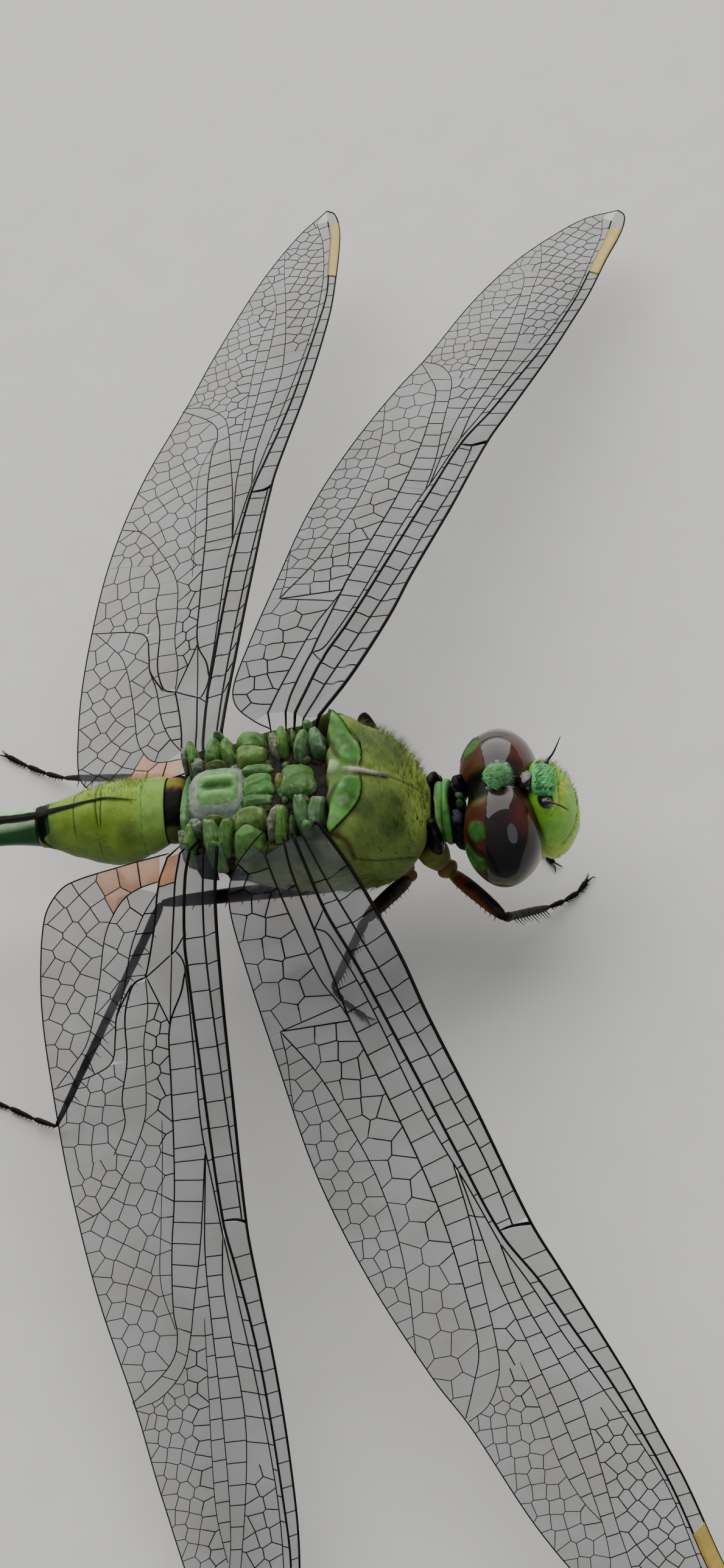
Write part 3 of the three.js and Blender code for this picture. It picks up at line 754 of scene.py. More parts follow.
def shell(start, end, top, bottom, half_width, widest, rings, sides, square=1.0, blunt=0.5):
    """A closed skin along X, its rings from the four measures and its ends blunt near 0."""
    bm = new_skin()
    bmesh.ops.create_uvsphere(bm, u_segments=sides, v_segments=rings, radius=1)
    for vertex in bm.verts:
        y, z, x = vertex.co
        angle = atan2(z, y)
        fullness = hypot(y, z) ** blunt
        place = start + (end - start) * (x + 1) / 2
        rise = signed_power(sin(angle), square)
        spread = signed_power(cos(angle), square)
        level = widest(place)
        reach = top(place) - level if rise > 0 else level - bottom(place)
        vertex.co = (place, spread * half_width(place) * fullness, level + rise * reach * fullness)
    return bm


def lump(bm, centre, radii, turn=0.0, pitch=0.0, square=1.0, sides=28, rings=18):
    """Adds a rounded lump and gives its points. square below 1 makes it boxier."""
    made = bmesh.ops.create_uvsphere(bm, u_segments=sides, v_segments=rings, radius=1)["verts"]
    spin = Matrix.Rotation(radians(turn), 3, "Z") @ Matrix.Rotation(radians(pitch), 3, "Y")
    for vertex in made:
        boxed = [signed_power(part, square) * radius for part, radius in zip(vertex.co, radii)]
        vertex.co = Vector(centre) + spin @ Vector(boxed)
    return made


def ease(low, high, value):
    share = min(max((value - low) / (high - low), 0.0), 1.0)
    return share * share * (3 - 2 * share)


def blob(spot, centre, radii, soft=0.3):
    """1 inside an ellipsoid, easing to 0 outside it."""
    off = sum(((a - b) / r) ** 2 for a, b, r in zip(spot, centre, radii)) ** 0.5
    return 1 - ease(1 - soft, 1 + soft, off)


def wave(spot, size, salt=0):
    """Smooth noise from -1 to 1 with features of the given size."""
    return noise.noise(Vector(spot) / size + Vector((salt * 7.3, salt * 3.1, salt)))


def both_sides(stops):
    return [[Vector(stop) for stop in stops], [Vector((x, -y, z)) for x, y, z in stops]]


class Marking:
    """Smooth lines that run on a skin, and how near a spot is to them."""

    def __init__(self, skin, *lines):
        self.samples = []
        for line in lines:
            path = smooth_path([skin.find_nearest(Vector(stop))[0] for stop in line], 0.03)
            for i, spot in enumerate(path):
                self.samples.append((skin.find_nearest(spot)[0], i / (len(path) - 1)))
        self.tree = point_tree([spot for spot, _ in self.samples])

    def near(self, spot, width, soft=0.04, taper=False):
        """1 on the line, falling to 0 beside it. A tapered line thins towards its ends."""
        _, i, distance = self.tree.find(spot)
        share = self.samples[i][1]
        half = width / 2 * (min(1, 5 * share, 5 * (1 - share)) if taper else 1)
        return 1 - ease(half - soft / 2, half + soft, distance)


def mix(base, *layers):
    """A colour with others laid over it, each a (colour, share)."""
    colour = Vector(base)
    for over, share in layers:
        if share > 0:
            colour = colour.lerp(Vector(over), min(share, 1.0))
    return colour


def dress(bm, look, verts=None):
    """Tints each point of a skin, and lifts it along its normal, as look(spot, normal) says."""
    tint = bm.verts.layers.float_color["tint"]
    bm.normal_update()
    moves = []
    for vertex in verts or bm.verts:
        colour, lift = look(vertex.co, vertex.normal)
        vertex[tint] = colour
        moves.append((vertex, vertex.normal * lift))
    for vertex, move in moves:
        vertex.co += move


def body_piece(name, bm, finish, slot, *nodes):
    """Makes a bmesh in the insect's millimetres a kept piece that stands for its nodes."""
    bmesh.ops.scale(bm, vec=(MM, MM, MM), verts=bm.verts)
    bmesh.ops.translate(bm, vec=ORIGIN, verts=bm.verts)
    keep(new_piece(name, bm, finish), slot, *nodes)


# ---- Thorax ----

LIME = srgb("849a4a")
OLIVE = srgb("556430")
DEEP_GREEN = srgb("26391d")
LEAF = srgb("487f38")
BLUE_GREEN = srgb("4b8a58")
MEMBRANE = srgb("8d958c")
PALE = srgb("cfd6c4")
TAN = srgb("b9a184")
BROWN = srgb("4a2716")
DARK_BROWN = srgb("24130c")
BLACK = srgb("0b0908")

# The leaf-shaped plate before each forewing: its front and rear edge along X, by distance out.
LEAF_FRONT = measure([[0.2, 3.3], [0.6, 3.36], [1.1, 3.27], [1.5, 3.03], [1.9, 2.68], [2.3, 2.25]])
LEAF_REAR = measure([[0.2, 2.95], [0.45, 2.65], [0.95, 2.4], [1.5, 2.2], [2.0, 2.12], [2.3, 2.1]])

THORAX = {
    "start": -3.8, "end": 5.5, "square": 0.85, "blunt": 0.42,
    "top": measure([[-3.8, -1.3], [-2.8, -0.3], [-1, 0.05], [1.5, 0.15], [3, 0.03], [4.2, -0.4],
            [5.0, -1.1], [5.5, -2.2]]),
    "bottom": measure([[-3.8, -2.9], [-2, -4.0], [0, -4.8], [2.5, -5.5], [4.3, -5.5],
            [5.5, -4.2]]),
    "half_width": measure([[-3.8, 1.3], [-2.6, 2.3], [-0.5, 2.8], [2, 3.0], [3.8, 3.05],
            [4.9, 2.6], [5.5, 1.7]]),
    "widest": measure([[-3.8, -2.0], [0, -2.2], [3, -2.2], [5.5, -2.9]]),
}


def build_thorax():
    bm = shell(rings=230, sides=300, **THORAX)
    skin = BVHTree.FromBMesh(bm)
    leaf_edge = Marking(skin, *both_sides([(LEAF_FRONT(y), y, -0.2 - 0.1 * y)
                for y in (0.2, 0.6, 1.1, 1.5, 1.9, 2.3)]))
    shoulder = Marking(skin, *both_sides([(2.2, 2.2, -0.5), (2.72, 2.4, -0.8), (2.85, 2.63, -1.1),
                (2.92, 2.83, -1.5)]))
    humeral = Marking(skin, *both_sides([(2.92, 2.83, -1.5), (3.76, 2.69, -1.97),
                (4.44, 2.37, -2.52), (5.0, 1.75, -3.5)]))
    side_lines = Marking(skin, *both_sides([(0.5, 2.5, -0.8), (0.75, 2.85, -1.8), (1.3, 2.8, -3.0),
                (2.0, 2.2, -4.4)]),
        *both_sides([(-1.7, 2.2, -1.0), (-1.5, 2.5, -2.0), (-0.8, 2.4, -3.1), (0.1, 1.9, -4.2)]))
    stripe = Marking(skin, *both_sides([(4.25, 0.75, -0.8), (3.75, 1.6, -0.75),
                (3.2, 2.25, -0.75)]))
    seam = Marking(skin, [(3.95, 0, -0.5), (4.5, -0.02, -0.9), (5.0, 0.02, -1.6),
            (5.3, 0.03, -2.2)])
    keel = Marking(skin, [(2.85, 0, 0), (3.4, 0, -0.2), (4.25, 0, -0.6)])
    spiracle = (0.35, 2.85, -3.1)

    def look(spot, normal):
        x, y, z = spot
        out = abs(y)
        folded = (x, out, z)
        up = ease(-0.2, 0.35, normal.z)
        # The front shield and the sides.
        shade = 0.5 + 0.5 * wave(spot, 1.3)
        colour = mix(LIME, (OLIVE, 0.45 + 0.5 * shade))
        front_face = blob(folded, (4.15, 1.35, -1.1), (1.05, 0.85, 0.9), 0.45)
        front_face *= 0.8 + 0.5 * wave(spot, 0.7, 12)
        rear_face = blob(folded, (3.35, 1.5, -0.6), (0.4, 0.5, 0.6), 0.5)
        colour = mix(colour, (DEEP_GREEN, 0.85 * front_face), (DEEP_GREEN, 0.45 * rear_face),
            (OLIVE, 0.8 * stripe.near(spot, 0.16, 0.25)),
            (srgb("a2b656"), 0.7 * ease(4.6, 5.3, x)), (OLIVE, 0.7 * ease(-1.8, -3.2, z)),
            (LIME, 0.4 * blob(folded, (1.2, 2.9, -2.6), (1.4, 1, 0.9), 0.5)))
        lift = 0.03 * wave(spot, 0.9, 2) + 0.02 * front_face

        # The mid-line keel, and the seam that runs on from it to the neck.
        half = 0.19 - 0.14 * ease(2.8, 4.3, x)
        on_keel = keel.near(spot, half, 0.07)
        flank = keel.near((x, y + 0.6 * half + 0.05, z), 0.08, 0.06) * ease(2.9, 3.2, x)
        fork = blob((x, y, z), (2.4, 0.12, 0.0), (0.24, 0.26, 0.4), 0.4)
        on_seam = seam.near(spot, 0.05, 0.05, taper=True)
        colour = mix(colour, (srgb("bdb8a6"), 0.85 * on_keel), (DARK_BROWN, 0.9 * flank),
            (BROWN, 0.85 * on_seam))
        lift += 0.14 * on_keel + 0.1 * fork + 0.05 * seam.near(spot, 0.1, 0.3) - 0.05 * on_seam

        # Painted shade: the skin behind the leaf plates is darker green, browning towards the sunk
        # gap before the plates.
        behind = ease(0.1, -0.1, x - LEAF_REAR(min(out, 2.2))) * ease(2.6, 2.3, out)
        colour = mix(colour, (mix(srgb("56703f"), (DARK_BROWN, ease(2.35, 2.1, x))), 0.8 * behind),
            (srgb("9bb285"), 0.75 * fork))

        # The leaf-shaped plates stand proud, behind their black toothed edge.
        if 1.9 < x < 3.5 and 0.15 < out < 2.6 and up > 0:
            inner, outer = LEAF_REAR(out), LEAF_FRONT(out)
            share = (x - inner) / max(outer - inner, 0.05)
            on_leaf = ease(-0.08, 0.1, share) * ease(1.05, 0.95, share) * ease(0.15, 0.4, out)
            dome = max(0.0, 1 - (2 * share - 1) ** 2)
            light = ease(0.3, 1.6, out) * (0.4 + 0.3 * wave(spot, 0.4, 4))
            # The faint pale flecks on the leaf plates are painted highlights.
            colour = mix(colour, (LEAF, on_leaf), (LIME, 0.3 * on_leaf * light),
                (DEEP_GREEN, 0.5 * on_leaf * blob((share, out, 0), (0.55, 1.0, 0),
                        (0.3, 0.5, 1), 0.6)),
                (DEEP_GREEN, 0.45 * on_leaf * ease(0, 0.5, wave(spot, 0.35, 14))),
                (PALE, 0.12 * on_leaf * ease(0.1, 0.6, wave(spot, 0.3, 15))))
            lift += on_leaf * (0.05 + 0.13 * dome)
            edge = leaf_edge.near(spot, 0.07, 0.04)
            teeth = 0.02 * (1 if sin(out * 60) > 0.2 else 0)
            colour = mix(colour, (BLACK, edge), (DARK_BROWN, 0.7 * blob(
                        (share, 0, 0), (-0.02, 0, 0), (0.1, 1, 1), 0.6) * ease(0.3, 0.7, out)))
            lift += edge * (0.1 + teeth)
        lift += 0.42 * blob(folded, (2.35, 2.25, -0.6), (0.75, 0.6, 0.7), 0.7) * up

        # Between the wings the skin is sunk below the plates that lie there.
        rim = 2.14 + 0.05 * sin(7 * y)
        between = ease(rim + 0.1, rim - 0.05, x) * ease(2.5, 2.25, out) * ease(-1.35, -1.0, z)
        between *= ease(-3.72, -3.6, x)
        colour = mix(colour, (DARK_BROWN, between))
        lift -= 0.85 * between
        # Painted shade: darker along the edge of the plate patch, high on the sides.
        colour = mix(colour, (DEEP_GREEN, 0.7 * ease(2.15, 2.35, out) * ease(-1.7, -1.2, z)
                * ease(2.0, 1.6, x)))

        # Sutures down the sides, and the breathing hole.
        on_shoulder = shoulder.near(spot, 0.1, 0.1)
        on_humeral = humeral.near(spot, 0.04, 0.04, taper=True)
        on_side = side_lines.near(spot, 0.04, 0.05, taper=True)
        hole = blob(folded, spiracle, (0.14, 0.3, 0.24), 0.3)
        colour = mix(colour, (BROWN, 0.85 * on_shoulder), (DARK_BROWN, 0.95 * on_humeral),
            (BROWN, 0.8 * on_side), (BLACK, hole))
        groove = max(humeral.near(spot, 0.05, 0.12), side_lines.near(spot, 0.05, 0.14))
        lift -= 0.06 * groove + 0.05 * on_shoulder + 0.07 * hole

        # The rear end dives under the abdomen, and the front under the neck.
        colour = mix(colour, (BLACK, ease(-3.5, -3.62, x) * ease(-3.2, -1.6, z)),
            (BROWN, 0.5 * ease(-4.6, -5.2, z)))
        return colour, lift

    dress(bm, look)
    body_piece("thorax_shell", bm, "cuticle", "green_cuticle", "thorax")
    return skin


LEG_TAN = srgb("7d7b34")

# Plates between the wings, mirrored where they stand off the mid-line: centre, half-lengths, turn,
# top, how far the top rounds down, boxiness (2 is round), fall outwards, colour, the colour of its
# painted highlights and relief.
PLATES = [
    ((1.08, 0), (0.62, 0.64), 0, -0.02, 0.24, 2.6, 0.1, "3d752a", "6ba247", "ridge"),
    ((0.4, 0), (0.2, 0.32), 0, -0.2, 0.2, 2.2, 0.1, "8a5a26", "c9b48c", ""),
    ((-0.36, 0), (0.6, 0.47), 0, -0.24, 0.22, 3.2, 0.1, "3c8c35", "74b853", "ridge"),
    ((-0.4, 0.66), (0.56, 0.19), -4, -0.3, 0.2, 3.0, 0.25, "4a8c48", "8ac07a", ""),
    ((-0.22, 0.98), (0.42, 0.22), 0, -0.52, 0.2, 2.6, 0.3, "4f8a52", "94b98a", ""),
    ((-0.68, 1.36), (0.54, 0.44), 0, -0.24, 0.24, 2.2, 0.2, "5d8a30", "a9ad48", "pit"),
    ((-0.76, 2.14), (0.52, 0.48), 8, -0.45, 0.3, 2.4, 0.55, "488a32", "7bac54", ""),
    ((-1.85, 0), (0.76, 0.73), 0, -0.26, 0.16, 3.4, 0.0, "468c40", "93c87a", "twin"),
    ((-3.13, 0), (0.19, 1.25), 0, -0.82, 0.3, 2.6, 0.3, "4d9150", "86b984", ""),
    ((1.72, 1.5), (0.25, 0.5), 10, 0.12, 0.2, 2.6, 0.25, "5a8a66", "b0c0b0", "leaf"),
    ((1.24, 1.45), (0.23, 0.54), -8, 0.14, 0.2, 2.6, 0.25, "528854", "9dba98", "leaf"),
    ((1.46, 2.12), (0.18, 0.2), 0, 0.08, 0.22, 2.0, 0.2, "4f8a50", "90b886", ""),
    ((1.3, 0.82), (0.26, 0.16), 30, -0.3, 0.2, 2.2, 0.2, "64482a", "94825a", ""),
    ((0.5, 1.8), (0.17, 0.56), 3, 0.05, 0.2, 2.3, 0.25, "58962e", "93bc56", "leaf"),
    ((0.2, 1.62), (0.16, 0.44), 12, -0.02, 0.2, 2.2, 0.25, "877a72", "e2d8cf", "folds"),
    ((0.62, 0.74), (0.2, 0.22), 0, -0.42, 0.2, 2.2, 0.2, "4a784a", "7c9f74", ""),
    ((0.86, 1.9), (0.12, 0.45), 6, -0.3, 0.2, 2.2, 0.3, "2c1a15", "4c342c", ""),
    ((-1.62, 1.78), (0.24, 0.48), 14, -0.4, 0.2, 2.6, 0.2, "478a30", "8dac46", "leaf"),
    ((-2.12, 1.8), (0.26, 0.5), -8, -0.38, 0.2, 2.6, 0.2, "448a40", "8aba66", "leaf"),
    ((-1.92, 2.38), (0.2, 0.18), 0, -0.38, 0.22, 2.0, 0.2, "4a8a58", "82b884", ""),
    ((-1.98, 1.18), (0.4, 0.16), 0, -0.5, 0.2, 2.4, 0.2, "5a5a24", "8d8a46", ""),
    ((-2.95, 1.9), (0.16, 0.6), 8, -0.5, 0.22, 2.4, 0.2, "549634", "8dc05e", "leaf"),
    ((-3.26, 1.84), (0.2, 0.38), 16, -0.58, 0.22, 2.2, 0.2, "8a8078", "e2dbd2", "folds"),
    ((-2.7, 1.3), (0.24, 0.24), 0, -0.55, 0.2, 2.2, 0.2, "8c928e", "e2e5e0", "folds"),
]
PATCH_START, PATCH_END = -3.36, 2.36
PATCH_BOTTOM = -2.1                 # hidden in the thorax
PATCH_EDGE = measure([[-3.4, 1.95], [-3.0, 2.3], [-2, 2.55], [-0.8, 2.62], [0.5, 2.5], [2.4, 2.3]])


def plates_at(x, y, floor_z):
    """The height among the plates, the topmost plate there, how near its middle, and its lead."""
    height, top_plate, spot_on_it, second = floor_z, None, (0, 0), -9.0
    for plate in PLATES:
        (cx, cy), (rx, ry), turn, top, rounding, boxy, fall = plate[:7]
        side = -1 if y < 0 and cy else 1
        dx, dy = x - cx, y * side - cy
        if abs(dx) > 1.6 * max(rx, ry) or abs(dy) > 1.6 * max(rx, ry):
            continue
        c, s = cos(radians(turn)), sin(radians(turn))
        tight = 1.0 if plate[-1] == "twin" else 1.07
        u, v = tight * (dx * c + dy * s) / rx, tight * (dy * c - dx * s) / ry
        away = (abs(u) ** boxy + abs(v) ** boxy) ** (1 / boxy)
        if plate[-1] != "twin":
            away *= 1 + 0.3 * wave((u, v, 0), 1.1, cx + cy)
        here = top - rounding * away ** 3.5 - fall * dy
        if plate[-1] == "twin":
            here -= 0.13 * exp(-(v / (0.2 - 0.1 * abs(u))) ** 2) * ease(1.05, 0.3, abs(u))
            here += 0.06 * exp(-((abs(v) - 0.45) / 0.2) ** 2) * ease(1.0, 0.5, abs(u))
        else:
            here += 0.13 * (0.4 - abs(wave((u, v, 0), 1.3, 3 + cx)))
        if plate[-1] == "leaf":
            here += 0.06 * exp(-((u - 0.5 * v) / 0.3) ** 2)
        elif plate[-1] == "ridge":
            here += 0.03 * exp(-((v - 0.4 * u) / 0.16) ** 2)
        elif plate[-1] == "pit":
            here -= 0.04 * exp(-((u + 0.1) / 0.16) ** 2) * ease(0.9, 0.3, abs(v))
        elif plate[-1] == "folds":
            here += 0.06 * wave((x, y, 0), 0.12, 7)
        if here > height:
            height, top_plate, spot_on_it, second = here, plate, (u, v), max(second, height)
        else:
            second = max(second, here)
    return height, top_plate, spot_on_it, height - max(second, floor_z)


def build_plates(skin):
    """The plates, their dark seams and the pale membrane round them, as one closed skin."""
    bm = new_skin()
    bmesh.ops.create_grid(bm, x_segments=250, y_segments=222, size=1)
    facts = {}
    for vertex in bm.verts:
        x = PATCH_START + (PATCH_END - PATCH_START) * (vertex.co.x + 1) / 2
        y = vertex.co.y * PATCH_EDGE(x)
        below = skin.ray_cast(Vector((x, y, 5)), Vector((0, 0, -1)))[0]
        floor_z = max(below.z if below else -9, -0.75) - 0.6 + 0.03 * wave((x, y, 0), 0.25, 5)
        found = plates_at(x, y, floor_z)
        sink = 1.3 * max(ease(0.93, 1.0, abs(vertex.co.y)), ease(0.97, 1.0, abs(vertex.co.x)))
        vertex.co = (x, y, found[0] - sink)
        facts[vertex.co.to_tuple(4)] = found[1:]
    rim = [edge for edge in bm.edges if edge.is_boundary]
    wall = bmesh.ops.extrude_edge_only(bm, edges=rim)["geom"]
    for part in wall:
        if isinstance(part, bmesh.types.BMVert):
            part.co.z = PATCH_BOTTOM
    bmesh.ops.edgeloop_fill(bm, edges=[edge for edge in bm.edges if edge.is_boundary])
    bmesh.ops.recalc_face_normals(bm, faces=bm.faces)

    def look(spot, normal):
        plate, (u, v), lead = facts.get(spot.to_tuple(4), (None, (0, 0), 0))
        x, y = spot.x, spot.y
        if not plate:
            folds = wave((x, y, 0), 0.14, 5)
            pale = blob((x, y, 0), (-1.88, 0.05, 0), (0.98, 0.86, 1), 0.2)
            pale = max(pale, 0.7 * blob((x, abs(y), 0), (-1.2, 1.1, 0), (0.35, 0.3, 1), 0.4))
            # The pale membrane is its own colour; the pale and dark stripes along its folds are
            # painted highlight and shade, as the folds have no relief here.
            colour = mix(srgb("1a0e0c"), (srgb("301a1c"), ease(0, 0.5, wave((x, y, 0), 0.5, 6))),
                (BLACK, ease(-0.1, 0.3, wave((x, y, 0), 0.4, 9))),
                (MEMBRANE, 0.9 * pale), (PALE, 0.8 * pale * ease(0.2, 0.5, folds)),
                (DARK_BROWN, 0.6 * pale * ease(-0.15, -0.45, folds)))
            return colour, 0
        base_colour, highlight_colour = srgb(plate[7]), srgb(plate[8])
        away = max(abs(u), abs(v))
        seam = ease(0.08, 0.01, lead)
        # Painted light and shade: the highlight colour on the flat top, lit more to one side, deep
        # green on the steep sides, a highlight ring inside the rim, and pale glints.
        steep_shade = ease(0.75, 0.35, normal.z)
        lit = 0.1 + 0.9 * ease(0.1, 0.75, wave((u, v, 0), 0.9, plate[0][0]) + 0.4 - 0.25 * v)
        glint = ease(0.3, 0.6, wave(spot, 0.16, 12)) * ease(0.55, 0.85, away)
        colour = mix(base_colour, (highlight_colour, 0.75 * lit * (1 - steep_shade)),
            (DEEP_GREEN, 0.5 * ease(0.1, 0.5, wave(spot, 0.3, 8))),
            (LEG_TAN, 0.3 * ease(0.1, 0.5, wave(spot, 0.5, 10))),
            (highlight_colour, 0.7 * ease(0.62, 0.85, away) * ease(1.0, 0.9, away)),
            (PALE, 0.55 * glint), (DEEP_GREEN, 0.6 * steep_shade), (srgb("a4c08a"), 0.12))
        if plate[-1] == "twin":
            # Painted shade in the twin plate's middle groove, and painted highlight on its two
            # ridges.
            groove = exp(-(v / (0.17 - 0.08 * abs(u))) ** 2) * ease(0.95, 0.5, abs(u))
            lobes = exp(-((abs(v) - 0.5) / 0.2) ** 2) * ease(0.9, 0.6, abs(u))
            colour = mix(colour, (DEEP_GREEN, 0.5 * groove), (highlight_colour, 0.6 * lobes),
                (MEMBRANE, 0.85 * ease(0.94, 1.02, (u ** 4 + v ** 4) ** 0.25
                        + 0.06 * wave(spot, 0.25, 11))))
            seam = 0
        return mix(colour, (DARK_BROWN, 0.9 * seam)), 0.02 * wave(spot, 0.2, 1)

    dress(bm, look)
    body_piece("wing_base_plates", bm, "plate", "green_cuticle")


# ---- Neck ----

PROTHORAX = {
    "start": 5.6, "end": 6.7, "blunt": 0.3,
    "top": measure([[5.6, -2.3], [6.2, -2.35], [6.7, -2.9]]),
    "bottom": measure([[5.6, -4.5], [6.7, -4.2]]),
    "half_width": measure([[5.6, 1.2], [6.2, 1.0], [6.7, 0.7]]),
    "widest": measure([[5.6, -3.5], [6.7, -3.5]]),
}


def build_neck():
    bm = shell(rings=60, sides=110, **PROTHORAX)

    def look(spot, normal):
        x, y, z = spot
        edge = 6.02 + 0.1 * abs(y)
        collar = ease(5.66, 5.74, x) * ease(edge + 0.16, edge, x) * ease(-4.3, -3.9, z)
        groove = exp(-((x - 5.9 - 0.05 * cos(2 * y)) / 0.04) ** 2) * collar
        # Painted highlight: a pale patch at the collar's front, on its right side.
        colour = mix(BLACK, (srgb("53883f"), collar), (LIME, 0.5 * collar * ease(5.95, 5.75, x)),
            (srgb("a9c49a"), 0.7 * collar * ease(5.84, 5.74, x) * ease(0.2, -0.2, y)),
            (DEEP_GREEN, 0.7 * groove), (DEEP_GREEN, 0.3 * collar * ease(0, 0.5, wave(spot, 0.3))),
            (BLUE_GREEN, 0.5 * collar * ease(-0.4, 0.6, y)), (BROWN, 0.6 * ease(-3.6, -4.2, z)))
        lobes = 0.08 * ease(0.1, 0.5, abs(y)) * ease(5.9, 6.05, x)
        return colour, collar * (0.08 + lobes) - 0.06 * groove + 0.05 * wave(spot, 0.35)

    dress(bm, look)
    body_piece("prothorax_shell", bm, "plate", "green_cuticle", "prothorax")

    # Dark lumpy tubercles between the prothorax and the head.
    bm = new_skin()
    knobs = [((6.4, 0.66, -2.95), (0.28, 0.56, 0.42), BLACK, srgb("2c3138"), 0.1),
        ((6.45, 1.02, -3.5), (0.3, 0.5, 0.62), BLACK, srgb("1f2a24"), 0.1),
        ((6.52, 0.16, -2.8), (0.2, 0.2, 0.24), DEEP_GREEN, srgb("2f4f38"), 0.05),
        ((5.5, 0.95, -3.5), (0.32, 0.62, 0.95), BLACK, srgb("2b3020"), 0.06)]
    # Each knob's top_highlight is a painted highlight: a lighter colour on its upward faces.
    for (x, y, z), radii, base, top_highlight, rough in knobs:
        for side in (1, -1):
            made = lump(bm, (x, y * side, z), radii, -20 * side, sides=60, rings=40)
            dress(bm, lambda spot, normal: (mix(base, (top_highlight, ease(0.3, 0.9, normal.z)
                            * ease(-0.2, 0.3, wave(spot, 0.3, 2)))),
                    rough * wave(spot, 0.3)), made)
    body_piece("neck_tubercles", bm, "plate", "black_cuticle")


# ---- Head ----

HEAD_MIDDLE = 7.98
HEAD_YAW = 2.0
NECK = 6.7                          # the head turns about this place
TEMPLE_EDGE = 7.75                  # where the eyes end behind, at the mid-line
TEMPLE_LEAN = 0.14

EYE_TOP = srgb("261d1d")
EYE_SIDE = srgb("100a0a")
EYE_LOW = srgb("66664c")
EMERALD = srgb("45a356")
EMERALD_LIGHT = srgb("86cc86")
FACE_LIME = srgb("7cb62c")
FACE_YELLOW = srgb("b4c228")
MAROON = srgb("2c1413")


def head_piece(name, bm, *settings):
    """Turns a bmesh with the head, and keeps it."""
    bmesh.ops.rotate(bm, verts=bm.verts, cent=(NECK, 0, 0),
        matrix=Matrix.Rotation(radians(HEAD_YAW), 3, "Z"))
    body_piece(name, bm, *settings)


def even(*stops):
    """A measure that is the same on both sides of its first stop, at 0."""
    return measure([[-place, size] for place, size in stops[:0:-1]] + list(stops))


def bow(*stops):
    """A line across the face from its right half, whose last stop is on the mid-line."""
    return list(stops) + [(x, -y, z) for x, y, z in stops[-2::-1]]


EYES = {
    "start": -3.25, "end": 3.25, "blunt": 0.62,
    "top": even([0, -1.75], [1.1, -1.5], [2.3, -1.8], [3.25, -2.7]),
    "bottom": even([0, -5.2], [1.1, -5.45], [2.3, -5.25], [3.25, -4.4]),
    "half_width": even([0, 1.35], [1, 1.53], [2.2, 1.5], [3.25, 1.1]),
    "widest": lambda place: -3.5,
}
FACE = {
    "start": 8.8, "end": 10.72, "square": 0.9, "blunt": 0.5,
    "top": measure([[8.8, -2.1], [9.4, -1.8], [10.0, -2.2], [10.72, -3.4]]),
    "bottom": measure([[8.8, -5.7], [9.6, -6.0], [10.72, -5.2]]),
    "half_width": measure([[8.8, 1.5], [9.5, 1.66], [10.2, 1.5], [10.72, 1.1]]),
    "widest": measure([[8.8, -4.1], [10.72, -4.2]]),
}


def eyes_shape(rings, sides):
    """Both eyes and the back of the head as one skin, side to side."""
    bm = shell(rings=rings, sides=sides, **EYES)
    bmesh.ops.rotate(bm, verts=bm.verts, cent=(0, 0, 0), matrix=Matrix.Rotation(pi / 2, 3, "Z"))
    bmesh.ops.translate(bm, verts=bm.verts, vec=(HEAD_MIDDLE, 0, 0))
    return bm


def cut(bm, place, away):
    """Cuts off what lies on the away side of a plane, and closes the cut."""
    made = bmesh.ops.bisect_plane(bm, geom=bm.verts[:] + bm.edges[:] + bm.faces[:], dist=1e-6,
        plane_co=place, plane_no=away, clear_outer=True)
    rim = [part for part in made["geom_cut"] if isinstance(part, bmesh.types.BMEdge)]
    bmesh.ops.edgeloop_fill(bm, edges=rim)


def build_eyes():
    for name, side in (("eye_left", 1), ("eye_right", -1)):
        bm = eyes_shape(220, 170)
        cut(bm, (0, side * 0.02, 0), (0, -side, 0))
        cut(bm, (TEMPLE_EDGE, 0, 0), (-1, -side * TEMPLE_LEAN, 0))

        def look(spot, normal):
            x, y, z = spot
            out = abs(y)
            rim = x + TEMPLE_LEAN * out - TEMPLE_EDGE
            top = ease(-2.6, -1.7, z + 0.12 * wave(spot, 0.8))
            low = ease(-2.9, -4.0, z)
            colour = mix(EYE_SIDE, (EYE_TOP, top), (EYE_LOW, 0.9 * low),
                (srgb("4a211a"), 0.8 * blob((x, out, z), (8.75, 1.3, -2.2), (0.5, 0.7, 0.6), 0.5)),
                (BLACK, 0.55 * blob((x, out, z), (8.15, 2.3, -2.9), (0.45, 0.3, 0.5), 0.6)),
                (DARK_BROWN, 0.3 * ease(0.05, 0.01, rim)))
            seam = exp(-((out - 0.02) / 0.12) ** 2)
            return colour, -0.1 * seam

        dress(bm, look)
        head_piece(name + "_cornea", bm, "eye", "eye_cornea", name)


